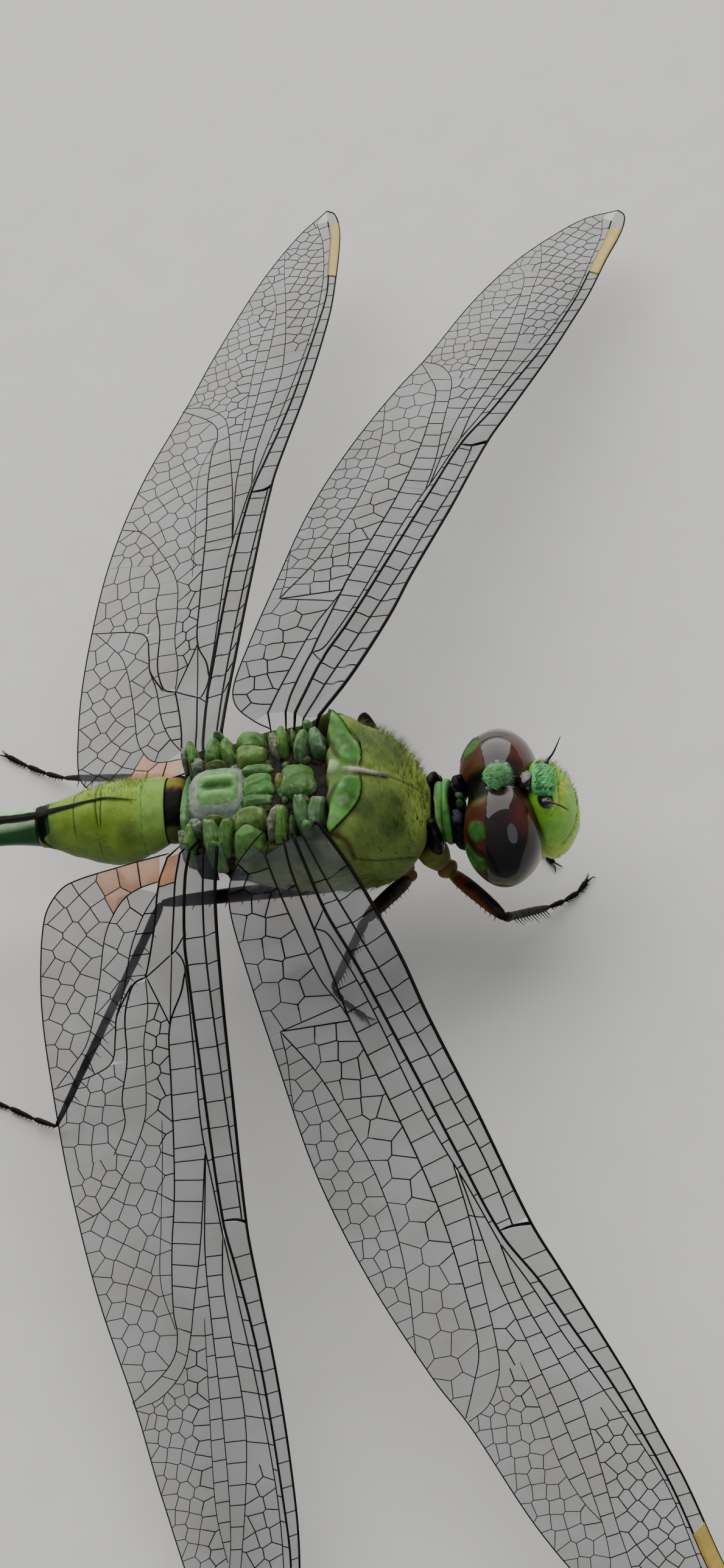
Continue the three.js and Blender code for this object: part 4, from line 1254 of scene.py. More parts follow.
def build_temples():
    """The back of the head, behind and below the eyes."""
    bm = eyes_shape(200, 150)
    cut(bm, (TEMPLE_EDGE + 0.01, 0, 0), (1, TEMPLE_LEAN, 0))
    cut(bm, (TEMPLE_EDGE + 0.01, 0, 0), (1, -TEMPLE_LEAN, 0))

    def look(spot, normal):
        x, y, z = spot
        out = abs(y)
        folded = (x, out, z)
        rim = TEMPLE_EDGE - x - TEMPLE_LEAN * out
        colour = mix(srgb("42281d"), (BROWN, 0.5 + 0.5 * wave(spot, 0.5)))
        upper = blob(folded, (7.1, 1.75, -2.15), (0.7, 0.38, 0.3), 0.25)
        middle = blob(folded, (7.0, 2.3, -3.0), (0.7, 0.6, 0.42), 0.2)
        inner = blob(folded, (7.4, 0.68, -1.75), (0.4, 0.22, 0.4), 0.4)
        band = blob(folded, (7.0, 2.2, -2.62), (0.8, 0.8, 0.13), 0.4)
        low = blob(folded, (7.1, 2.3, -4.0), (0.7, 0.6, 0.4), 0.3)
        green = mix(srgb("274c1c"), (srgb("3f6c30"), 0.5 + 0.8 * wave(spot, 0.25, 3)))
        colour = mix(colour, (green, upper), (OLIVE, (0.5 if y < 0 else 0.15) * inner),
            (green, middle), (DARK_BROWN, 0.9 * band), (OLIVE, 0.6 * low),
            (BLACK, ease(0.75, 0.4, out)), (DARK_BROWN, 0.4 * ease(0.06, 0.01, rim)))
        bulge = max(upper, middle) * (1 - band)
        return colour, (0.04 * bulge - 0.02 * band) * ease(0.0, 0.2, rim)

    dress(bm, look)
    # The neck's hollow.
    for vertex in bm.verts:
        hollow = blob(vertex.co, (6.5, 0, -3.6), (0.45, 1.2, 1.35), 0.25)
        vertex.co.x += 0.35 * hollow
    head_piece("temples", bm, "plate", "green_cuticle", "head")


def build_crown():
    """The hairy triangle behind the eyes' seam, and the dark vertex with its three ocelli."""
    bm = new_skin()
    pad = lump(bm, (8.0, 0, -1.68), (0.44, 0.42, 0.36), 0, 8, 0.9, 150, 90)
    for vertex in pad:
        pinch = 1 - 0.55 * ease(7.95, 8.5, vertex.co.x)
        vertex.co.y = 0.1 + vertex.co.y * pinch

    def look(spot, normal):
        angle = atan2(spot.y, spot.x - 7.3)
        streak = wave((angle * 1.2, hypot(spot.x - 7.3, spot.y) * 0.25, 0), 0.1, 2)
        # Painted shade: dark brown on the faces turned down.
        colour = mix(EMERALD, (EMERALD_LIGHT, 0.9 * ease(0.05, 0.4, streak)),
            (DEEP_GREEN, 0.7 * ease(0, 0.35, -streak)), (DARK_BROWN, ease(0.3, -0.2, normal.z)))
        return colour, 0.07 * streak + 0.05 * wave(spot, 0.4, 5)

    dress(bm, look)
    head_piece("occiput", bm, "plate", "green_cuticle")

    bm = new_skin()
    made = lump(bm, (9.08, 0, -2.0), (0.3, 0.36, 0.3), 0, 0, 0.9, 40, 28)
    # Painted highlight: tan on the faces that point straight up.
    dress(bm, lambda spot, normal: (mix(MAROON, (BLACK, 0.5 + wave(spot, 0.15)),
                (TAN, 0.2 * ease(0.93, 1.0, normal.z))), 0.03 * wave(spot, 0.15)), made)
    for x, y, z, radius in ((9.36, 0, -1.9, 0.1), (9.1, 0.34, -1.98, 0.09),
            (9.1, -0.34, -1.98, 0.09), (8.1, 0.66, -1.66, 0.17), (8.42, 0.56, -1.7, 0.14)):
        bead = lump(bm, (x, y, z), (radius,) * 3, sides=20, rings=14)
        # Painted highlight: each bead is lighter on its top.
        dress(bm, lambda spot, normal: (mix(srgb("1c1510"), (srgb("5f564a"),
                        ease(0.8, 1, normal.z))), 0), bead)
    head_piece("vertex_and_ocelli", bm, "gloss", "black_cuticle")


def build_face():
    bm = shell(rings=150, sides=170, **FACE)
    skin = BVHTree.FromBMesh(bm)
    brow = Marking(skin, bow((9.75, -1.2, -2.6), (10.1, -0.7, -2.6), (10.15, 0, -2.45)))
    clypeus = Marking(skin, bow((9.9, -1.4, -4.0), (10.5, -0.8, -3.9), (10.68, 0, -3.8)))
    labrum = Marking(skin, bow((9.7, -1.4, -4.9), (10.4, -0.85, -4.8), (10.65, 0, -4.75)))
    jaw = Marking(skin, *both_sides([(9.75, 1.45, -4.7), (9.85, 1.2, -5.2), (9.9, 0.8, -5.6)]))
    sockets = [(9.72, 0.8, -2.05), (9.72, -0.8, -2.05)]

    def look(spot, normal):
        x, y, z = spot
        out = abs(y)
        patch = 0.5 + 0.5 * wave(spot, 0.5, 3)
        colour = mix(FACE_LIME, (LEAF, 0.45 * patch), (FACE_YELLOW, 0.85 * ease(-3.4, -5.0, z)))
        streaks = ease(0.12, 0.45, wave((x, y * 1.6, z * 0.7), 0.28, 5)) * blob(
            spot, (10.25, -0.1, -2.75), (0.4, 1.0, 0.5), 0.5)
        on_brow = brow.near(spot, 0.05, 0.06, taper=True)
        on_clypeus = clypeus.near(spot, 0.05, 0.08)
        on_labrum = labrum.near(spot, 0.05, 0.08)
        on_jaw = jaw.near(spot, 0.05, 0.06)
        ring = max(blob(spot, socket, (0.34, 0.34, 0.4), 0.12) for socket in sockets)
        colour = mix(colour, (srgb("d8a03a"), 0.85 * streaks), (OLIVE, 0.6 * on_clypeus),
            (BROWN, 0.5 * on_labrum), (BROWN, 0.7 * on_jaw), (OLIVE, 0.7 * on_brow),
            (BLACK, ring), (TAN, 0.7 * ease(9.05, 8.9, x)))
        lift = 0.02 * wave(spot, 0.35, 2)
        lift -= 0.06 * max(clypeus.near(spot, 0.04, 0.16), labrum.near(spot, 0.04, 0.14), on_jaw)
        lift -= 0.05 * brow.near(spot, 0.04, 0.16) + 0.03 * ring
        lift += 0.07 * blob((x, out, z), (10.4, 0, -3.1), (0.5, 1.0, 0.5), 0.6)
        return colour, lift

    dress(bm, look)
    head_piece("face_shell", bm, "face", "lime_cuticle", "face")

    # The ribbed, hairy brow between the antennae.
    bm = new_skin()
    brow_lump = lump(bm, (9.62, 0, -2.12), (0.46, 0.66, 0.42), 0, 6, 0.8, 130, 70)

    def ribbed(spot, normal):
        rib = 0.5 + 0.5 * cos(spot.y * 55 + 3 * wave(spot, 0.5, 4))
        pale = ease(0.1, 0.5, wave((spot.x * 0.4, spot.y * 2, 0), 0.12, 7))
        # Painted shade: dark brown on the faces turned down.
        colour = mix(EMERALD, (DEEP_GREEN, 0.5 * (1 - rib) ** 2),
            (EMERALD_LIGHT, 0.25 + 0.5 * pale), (DARK_BROWN, 0.8 * ease(0, -0.5, normal.z)))
        return colour, 0.012 * rib + 0.02 * wave((spot.x * 0.5, spot.y, spot.z), 0.2, 6)

    dress(bm, ribbed, brow_lump)
    head_piece("frons", bm, "plate", "green_cuticle")

    bm = new_skin()
    lump(bm, (8.7, 0, -5.15), (1.45, 1.3, 0.85), 0, 0, 0.95, 110, 70)

    def mouth(spot, normal):
        x, y, z = spot
        split = exp(-(y / 0.05) ** 2) * ease(-5.0, -5.4, z)
        lobe = exp(-((abs(y) - 0.75 - 0.15 * (x - 8.7)) / 0.06) ** 2) * ease(-5.0, -5.5, z)
        colour = mix(OLIVE, (FACE_YELLOW, 0.6), (BROWN, 0.8 * split), (BROWN, 0.5 * lobe),
            (DARK_BROWN, ease(8.1, 7.4, x)))
        return colour, -0.08 * split - 0.06 * lobe + 0.02 * wave(spot, 0.4)

    dress(bm, mouth)
    head_piece("labium", bm, "face", "lime_cuticle", "mouthparts")
    return skin


ANTENNAE = {
    "antenna_left": [(9.7, 0.76, -2.12), (9.86, 0.86, -1.98), (10.1, 1.02, -1.72),
        (10.42, 1.32, -1.2)],
    "antenna_right": [(9.74, -0.8, -2.1), (9.88, -0.9, -1.98), (10.12, -1.06, -1.88),
        (10.52, -1.22, -2.1)],
}


def build_antennae():
    for name, stops in ANTENNAE.items():
        bm = new_skin()
        lump(bm, stops[0], (0.21, 0.21, 0.15), 0, 30, sides=32, rings=20)
        lump(bm, Vector(stops[0]).lerp(Vector(stops[1]), 0.6), (0.1, 0.1, 0.1), sides=24, rings=16)
        lump(bm, stops[1], (0.055, 0.055, 0.055), sides=20, rings=14)
        path = smooth_path(stops[1:], 0.05)
        add_stalk(bm, [(spot, 0.035 * (1 - i / len(path)) ** 0.7 + 0.01)
                for i, spot in enumerate(path)], 10)
        dress(bm, lambda spot, normal: (mix(BLACK, (BROWN, 0.3 * ease(0, 0.5, wave(spot, 0.1)))),
                0))
        body_piece(name + "_stalk", bm, "gloss", "black_cuticle", name)


# ---- Stalks, limbs and hair ----

def add_stalk(bm, line, sides=8):
    """Adds a round closed stalk along (place, radius) stops."""
    last = len(line) - 1
    before = None
    for i, (place, radius) in enumerate(line):
        ahead = Vector(line[min(i + 1, last)][0]) - Vector(line[max(i - 1, 0)][0])
        turn = Vector((0, 0, 1)).rotation_difference(ahead).to_matrix().to_4x4()
        ring = bmesh.ops.create_circle(bm, segments=sides, radius=radius,
            matrix=Matrix.Translation(place) @ turn, cap_ends=i in (0, last))["verts"]
        edges = list({edge for vertex in ring for edge in vertex.link_edges})
        if before:
            bmesh.ops.bridge_loops(bm, edges=before + edges)
        before = edges


def add_limb(bm, start, end, stops, bow=(0, 0, 0), sides=28, rings=40):
    """Adds a limb between two joints, its radius from [share of its length, radius] stops."""
    start, end, bow = Vector(start), Vector(end), Vector(bow)
    radius = measure(stops)
    swing = Vector((1, 0, 0)).rotation_difference(end - start)
    made = bmesh.ops.create_uvsphere(bm, u_segments=sides, v_segments=rings, radius=1)["verts"]
    for vertex in made:
        y, z, x = vertex.co
        share = (x + 1) / 2
        around = hypot(y, z)
        reach = radius(share) * around ** 0.35 / max(around, 1e-6)
        vertex.co = (start.lerp(end, share) + swing @ Vector((0, y * reach, z * reach))
            + bow * (1 - (2 * share - 1) ** 2))
    return made


def hair_spray(hairs, spread, bend, width):
    """A tuft of bent hairs a unit long, standing along Z on the origin and bending towards +X."""
    bm = new_skin()
    for i in range(hairs):
        turn = 2 * pi * i / hairs
        tall = 1 if i == 0 else 0.72 + 0.16 * (i % 2)
        lean = spread if i else 0
        line = []
        for t in (0, 0.5, 1):
            spot = Vector((bend * t * t + lean * cos(turn) * (t * t + 0.4),
                    lean * sin(turn) * (t + 0.4), t * tall))
            line.append((spot, width * (1 - 0.8 * t)))
        add_stalk(bm, line, 3)
    bmesh.ops.recalc_face_normals(bm, faces=bm.faces)
    bmesh.ops.triangulate(bm, faces=bm.faces)
    sheet = bm.loops.layers.uv.new("OFBake")
    for face in bm.faces:
        for loop in face.loops:
            side = 0.5 + atan2(loop.vert.co.y, loop.vert.co.x) / (2 * pi)
            loop[sheet].uv = (min(max(side, 0), 1), min(max(loop.vert.co.z, 0), 1))
    mesh = bpy.data.meshes.new("hair_spray")
    bm.to_mesh(mesh)
    bm.free()
    return mesh


TUFT_PATCH = 0.003                  # each tuft's size on the skin's unwrap


def grow(name, spray, roots, slot):
    """Plants a tuft at each root: (place, normal, lie, length, colour, place on the unwrap)."""
    bm = new_skin()
    for _ in roots:
        bm.from_mesh(spray)
    bm.verts.ensure_lookup_table()
    bm.faces.ensure_lookup_table()
    sheet = bm.loops.layers.uv["OFBake"]
    tint = bm.verts.layers.float_color["tint"]
    per_tuft, faces_each = len(spray.vertices), len(spray.polygons)
    for i, (place, normal, lie, length, colour, (u, v)) in enumerate(roots):
        across = normal.cross(lie).normalized()
        lie = across.cross(normal)
        axes = Matrix((lie, across, normal)).transposed() * length
        for vertex in bm.verts[i * per_tuft:(i + 1) * per_tuft]:
            vertex.co = place + axes @ vertex.co
            vertex[tint] = colour
        for face in bm.faces[i * faces_each:(i + 1) * faces_each]:
            for loop in face.loops:
                a, b = loop[sheet].uv
                loop[sheet].uv = (u + (a - 0.5) * TUFT_PATCH, v + (b - 0.5) * TUFT_PATCH)
    body_piece(name, bm, "hair", slot)


def scatter(skin, count, start, end, level, angles, chance):
    """Random places on a skin round the X axis, as (place, normal, place on the unwrap)."""
    found = []
    while len(found) < count:
        x = random.uniform(start, end)
        angle = radians(random.uniform(*angles))
        axis = Vector((x, 0, level))
        outside = axis + Vector((0, cos(angle), sin(angle))) * 8
        place, normal, *_ = skin.ray_cast(outside, axis - outside)
        if place and random.random() < chance(place):
            share = (x - start) / (end - start)
            found.append((place, normal, (share, (angle / (2 * pi)) % 1)))
    return found


def rooted(places, colour_at, lie_at, lengths):
    """Roots for grow(), each with its own colour, lie and length."""
    roots = []
    for place, normal, unwrap in places:
        colour, lie = colour_at(place), lie_at()
        roots.append((place, normal, lie, random.uniform(*lengths), colour, unwrap))
    return roots


def either_way(reach=1):
    return random.uniform(-reach, reach)


def build_thorax_hair(skin, spray):
    def on_front(spot):
        bare = blob((spot.x, abs(spot.y), 0), (2.8, 1.2, 0), (0.55, 0.95, 1), 0.1) > 0.5
        return (ease(2.3, 3.6, spot.x) * (0.25 + 0.75 * ease(-0.9, -1.7, spot.z))
            * (0.25 if bare else 1))

    def front_colour(place):
        edge = ease(-0.5, -1.2, place.z)
        return mix(LIME, (OLIVE, 0.6 * random.random()), (srgb("b8b868"), 0.6 * random.random()),
            (srgb("2a1c10"), edge * (random.random() < 0.3)))

    roots = rooted(scatter(skin, 1200, 2.2, 5.45, -2.6, (-60, 240), on_front), front_colour,
        lambda: Vector((0.8, 0.1 * either_way(), -0.5 + 0.3 * either_way())), (0.26, 0.42))
    on_sides = lambda spot: ease(2.9, 2.2, spot.x) * ease(-0.9, -1.6, spot.z)
    roots += rooted(scatter(skin, 500, -3.4, 3, -2.6, (-60, 240), on_sides),
        lambda place: mix(srgb("c9c9a0"), (LIME, random.random() * 0.6)),
        lambda: Vector((-0.6, 0, -0.7)), (0.2, 0.36))
    grow("thorax_hair", spray, roots, "green_cuticle")

    # Black teeth along the front edge of each leaf-shaped plate.
    roots = []
    for side in (1, -1):
        for i in range(34):
            out = 0.3 + i * 0.058
            place, normal, *_ = skin.ray_cast(Vector((LEAF_FRONT(out) + 0.01, out * side, 3)),
                Vector((0, 0, -1)))
            roots.append((place + normal * 0.13, normal, Vector((0.9, 0.2 * side, 0.1)),
                    random.uniform(0.09, 0.14), Vector(BLACK), (0.5 + i / 100, 0.5 + side / 4)))
    grow("plate_edge_teeth", hair_spray(1, 0, 0.2, 0.16), roots, "black_cuticle")


def build_abdomen_hair(skin, spray):
    def on_back(spot):
        return (ease(-8.3, -7.2, spot.x) * ease(-4.3, -5.0, spot.x)
            * (0.25 + 0.75 * ease(-0.3, 0.8, spot.y)) * ease(-2.9, -1.6, spot.z))

    roots = rooted(scatter(skin, 850, -8.5, -4.1, -2.0, (-40, 220), on_back),
        lambda place: mix(srgb("c8cf6a"), (LIME, random.random()), (BROWN, 0.3 * random.random())),
        lambda: Vector((-0.9, 0.15 * either_way(), 0.1)), (0.13, 0.24))
    grow("abdomen_hair", spray, roots, "green_cuticle")


def build_head_hair(skin):
    """The head's green crest, and black bristles on its face."""
    turn = Matrix.Rotation(radians(HEAD_YAW), 3, "Z")
    turned = lambda spot: turn @ (Vector(spot) - Vector((NECK, 0, 0))) + Vector((NECK, 0, 0))
    roots = []
    for i in range(320):
        share, side = random.random(), either_way()
        pinch = 1 - 0.65 * ease(0.45, 1, share)
        spot = turned((7.6 + share * 0.74, 0.1 + side * 0.4 * pinch, -1.32 - 0.28 * side * side
                - 0.25 * abs(2 * share - 1) ** 3))
        normal = Vector((0.5 * share + 0.6, side * 1.1, 0.9)).normalized()
        lie = Vector((0.7, 0.5 * side + either_way(0.7), 0))
        colour = mix(EMERALD, (EMERALD_LIGHT, random.random()),
            (DEEP_GREEN, 0.7 * random.random() ** 3), (PALE, 0.5 * random.random() ** 2))
        roots.append((spot, normal, lie, random.uniform(0.18, 0.34), colour,
                (share, 0.5 + side / 2.2)))
    grow("occiput_hair", hair_spray(4, 0.2, 0.7, 0.045), roots, "green_cuticle")

    roots = []
    for place, normal, unwrap in scatter(skin, 230, 9.6, 10.7, -3.9, (-10, 190),
            lambda spot: 0.3 + 0.7 * ease(9.9, 10.4, spot.x)):
        roots.append((turned(place), turn @ normal, Vector((0.5, 0, 0.6)),
                random.uniform(0.12, 0.22), mix(BLACK, (BROWN, random.random() * 0.6)), unwrap))
    for i in range(90):
        share = random.random()
        spot = turned((9.3 + 0.75 * share, either_way(0.6), -1.78 - 0.25 * share ** 2))
        colour = mix(BLACK, (DEEP_GREEN, random.random()))
        roots.append((spot, Vector((0.3, 0, 1)), Vector((1, either_way(0.3), 0)),
                random.uniform(0.2, 0.36), colour, (share, i / 46)))
    grow("face_bristles", hair_spray(1, 0, 0.3, 0.05), roots, "black_cuticle")


def build_hair(skins):
    spray = hair_spray(3, 0.25, 0.35, 0.018)
    build_thorax_hair(skins["thorax"], spray)
    build_abdomen_hair(skins["abdomen"], spray)
    build_head_hair(skins["face"])


# ---- Abdomen ----

SEGMENT_LENGTHS = [0.85, 1.65, 2.3, 3.4, 3.6, 3.6, 3.5, 2.6, 1.7, 1.0]
S_GREEN = srgb("728e30")
S_BLUE_GREEN = srgb("2c5230")
S_PAINTED_LIGHT = srgb("a2bf94")
S_GREY_GREEN = srgb("64884f")
ABDOMEN = {
    "top": measure([[-28.5, -1.3], [-26, -1.1], [-22, -0.95], [-17, -0.95], [-13, -1.1],
            [-10.1, -1.26], [-8.65, -1.11], [-7.3, -0.77], [-6.2, -0.45], [-5.0, -0.7],
            [-3.9, -0.7]]),
    "bottom": measure([[-28.5, -2.3], [-26, -2.6], [-22, -2.8], [-17, -2.75], [-13, -2.5],
            [-10.1, -2.38], [-8.65, -2.85], [-7.3, -3.75], [-6.2, -4.15], [-5.0, -3.4],
            [-3.9, -2.6]]),
    "half_width": measure([[-28.5, 0.6], [-26, 0.85], [-22, 1.0], [-17, 1.0], [-13, 0.8],
            [-10.1, 0.68], [-8.65, 0.72], [-7.3, 1.02], [-6.2, 1.32], [-5.0, 1.5], [-3.9, 1.34]]),
    "widest": measure([[-28.5, -1.8], [-10.1, -1.82], [-6.2, -2.2], [-3.9, -1.7]]),
}
# Half the width of the black line down the back, by place.
BACK_LINE = measure([[-12, 0.2], [-9.2, 0.15], [-8.6, 0.13], [-7.2, 0.075], [-6.3, 0.05],
        [-5.2, 0.03], [-4.8, 0.0]])
JOINTS = [ABDOMEN_START - sum(SEGMENT_LENGTHS[:i]) for i in range(11)]


# How far black takes over each ring of the tail.
TAIL_DARKNESS = {4: 0.0, 5: 0.15, 6: 0.25, 7: 0.7, 8: 0.9, 9: 1.0, 10: 1.0}


def abdomen_look(number):
    front, rear = JOINTS[number - 1], JOINTS[number]
    length = front - rear

    def look(spot, normal):
        x, y, z = spot
        out = abs(y)
        share = (front - x) / length
        from_rear = x - rear
        mottle = 0.5 + 0.5 * wave(spot, 0.6, 3)
        low = ease(-0.1, -0.75, normal.z)
        if number <= 3:
            # Painted shade: olive on the faces turned down, and brown on the underside (low).
            colour = mix(S_GREEN, (LIME, 0.55 * mottle), (OLIVE, 0.6 * ease(0.3, -0.3, normal.z)),
                (LEAF, 0.35 * blob(spot, (-6.6, 0, -2.4), (0.6, 2, 0.9), 0.6)))
            if number == 1:
                colour = mix(colour, (S_GREY_GREEN, 0.3 + 0.2 * mottle),
                    (BLACK, ease(-3.93, -3.88, x)))
            if number == 2:
                colour = mix(colour,
                    (S_GREY_GREEN, 0.45 * ease(-5.1, -4.7, x + 0.1 * wave(spot, 0.5))),
                    (DEEP_GREEN, 0.5 * blob((x, out, z), (-5.2, 1.0, -1.3),
                            (0.4, 0.45, 0.5), 0.5)))
            dorsal = ease(0.05, 0.0, out - BACK_LINE(x)) * ease(-4.75, -5.2, x)
            fade = ease(1.05, 0.75, out) * ease(0.1, 0.35, normal.z)
            rings = exp(-((x + 6.13 + 0.08 * out) / 0.024) ** 2) + exp(-((x + 7.22) / 0.024) ** 2)
            rings = min(rings + exp(-((x + 6.35 - 0.05 * out) / 0.026) ** 2), 1) * fade
            colour = mix(colour, (DARK_BROWN, 0.85 * rings), (BLACK, dorsal), (BROWN, 0.45 * low))
            lift = -0.03 * rings + 0.02 * dorsal + 0.03 * wave(spot, 0.5, 6)
            if number == 3:
                saddle = 0.45 - 0.32 * ease(-1.35, -1.75, z)
                slant = 0.35 * ease(-1.5, -2.7, z)
                ring = ease(saddle + 0.04, saddle - 0.04, from_rear - slant) * ease(
                    slant - 0.06, slant, from_rear)
                colour = mix(colour, (BLACK, ring),
                    (S_BLUE_GREEN, 0.6 * ease(-7.7, -8.3, x) * ease(0.1, 0.4, out)
                        * ease(0.26, 0.34, from_rear)))
        else:
            dark = TAIL_DARKNESS[number]
            # Painted light: the blue-green turns pale on faces turned up and towards the insect's
            # left, where the lamp falls.
            green = mix(S_BLUE_GREEN, (S_PAINTED_LIGHT, ease(0.5, 0.95, normal.z + 0.3 * normal.y)),
                (PALE, 0.3 * ease(0.1, -0.4, normal.z)), (DEEP_GREEN, 0.3 * mottle))
            half = 0.15 + 0.1 * ease(0.3, 0.75, share) + dark * 0.9
            if number >= 5:
                half += 0.32 * ease(0.3, 0.55, share) * ease(1.0, 0.9, share)
            stripe = (ease(half + 0.05, half, out + 0.02 * wave(spot, 0.3))
                * ease(-0.2, 0.1, normal.z))
            lower = ease(-0.25, -0.45, normal.z) * ease(-0.98, -0.8, normal.z)
            last = ease(0.16, 0.08, from_rear)
            colour = mix(green, (BLACK, stripe), (BLACK, 0.9 * lower), (DARK_BROWN, 0.9 * last),
                (BLACK, dark * ease(0.9, 1.0, dark + 0.2 * share)))
            if number == 4:
                colour = mix(colour, (BLACK, ease(0.14, 0.06, front - x)))
            lift = 0.02 * exp(-(y / 0.05) ** 2) * ease(0, 0.5, normal.z)
        if number > 1:
            lift += (0.03 * ease(0.12, 0.0, from_rear)
                - 0.02 * ease(0.08, 0, front - x) * (0 if number == 2 else 1))
        return colour, lift

    return look


def build_abdomen():
    for number in range(1, len(JOINTS)):
        fine = number <= 4
        bm = shell(start=JOINTS[number] - 0.03, end=JOINTS[number - 1] - 0.01,
            blunt=0.03 if fine else 0.07, rings=110 if fine else 60,
            sides=150 if fine else 90, **ABDOMEN)
        dress(bm, abdomen_look(number))
        body_piece(f"abdomen_s{number}_shell", bm, "abdomen",
            "green_cuticle" if number <= 3 else "tail_cuticle", f"abdomen_s{number}")
    for name, side in (("cercus_left", 1), ("cercus_right", -1)):
        bm = new_skin()
        add_limb(bm, (JOINTS[-1] + 0.1, side * 0.3, -1.65), (JOINTS[-1] - 1.18, side * 0.4, -1.7),
            [[0, 0.15], [0.3, 0.2], [0.75, 0.15], [1, 0.05]])
        dress(bm, lambda spot, normal: (mix(srgb("c9c48a"),
                    (BROWN, 0.5 * ease(0, 1, wave(spot, 0.3)))), 0))
        body_piece(name + "_blade", bm, "plate", "lime_cuticle", name)
    # The dark soft waist under the first ring.
    waist = dict(ABDOMEN, half_width=lambda place: 1.3, top=lambda place: -0.76)
    bm = shell(start=-4.1, end=-3.2, blunt=0.2, rings=40, sides=80, **waist)
    dress(bm, lambda spot, normal: (mix(BLACK, (BROWN, 0.5 * ease(0.2, 0.5, spot.y)),
                (srgb("676224"), ease(0.3, 0.6, spot.y + 0.15 * wave(spot, 0.2, 3))),
                (OLIVE, 0.7 * ease(-0.95, -1.15, spot.y))), 0.02 * wave(spot, 0.2)))
    body_piece("waist_membrane", bm, "abdomen", "black_cuticle")
    bm = shell(start=-8.6, end=-4, blunt=0.07, rings=40, sides=60, **ABDOMEN)
    skin = BVHTree.FromBMesh(bm)
    bm.free()
    return skin


# ---- Legs ----

FLOOR = -HINGE_HEIGHT
# Coxa root, trochanter, knee and ankle, then the foot's three joints on the floor as [x, y].
LEGS = {
    "fore_right": [(5.1, -0.8, -4.1), (5.7, -1.2, -5.5), (7.83, -3.88, -4.7), (9.0, -1.15, -8.9),
        (9.55, -0.75), (10.1, -0.35), (10.42, 0.1)],
    "fore_left": [(5.1, 0.8, -4.1), (5.85, 1.2, -5.5), (7.5, 3.7, -4.9), (8.3, 2.1, -8.9),
        (8.65, 1.75), (8.95, 1.4), (9.2, 1.05)],
    "mid_right": [(3.7, -0.8, -4.6), (4.3, -1.1, -5.9), (3.0, -4.31, -3.3), (0.85, -3.82, -8.9),
        (1.2, -4.2), (1.6, -4.55), (2.0, -4.9)],
    "mid_left": [(3.7, 0.8, -4.6), (4.3, 1.1, -5.9), (3.0, 4.6, -3.5), (0.9, 5.9, -8.9),
        (0.6, 6.6), (0.35, 7.3), (0.1, 7.9)],
    "hind_right": [(1.9, -0.8, -4.6), (2.3, -1.2, -5.9), (-4.55, -2.6, -3.75),
        (-9.46, -8.65, -8.9), (-10.4, -8.1), (-11.4, -7.5), (-12.4, -7.0)],
    "hind_left": [(1.9, 0.8, -4.6), (2.3, 1.2, -5.9), (-4.4, 3.0, -4.1), (-9.86, 6.6, -8.9),
        (-10.7, 7.1), (-11.5, 7.6), (-12.4, 8.2)],
}
SPINE_FOOT, SPINE_TIP = 0.026, 0.005
RED_BROWN = srgb("5a2a17")
LEG_OLIVE = srgb("7f7c38")


def leg_look(green_end, brown_under):
    def look(spot, normal):
        share = look.share(spot)
        behind = -0.7 * normal.x - 0.6 * normal.z + 0.2 * wave(spot, 0.5)
        under = ease(-0.35, 0.1, behind) * brown_under * ease(1, 0.75, share)
        colour = mix(BLACK, (srgb("1d1512"), 0.5 + wave(spot, 0.25)), (RED_BROWN, under),
            (RED_BROWN, 0.8 * ease(green_end + 0.2, green_end, share)),
            (LEG_OLIVE, ease(green_end, green_end - 0.12, share)))
        return colour, 0.012 * wave(spot, 0.15, 4)
    return look


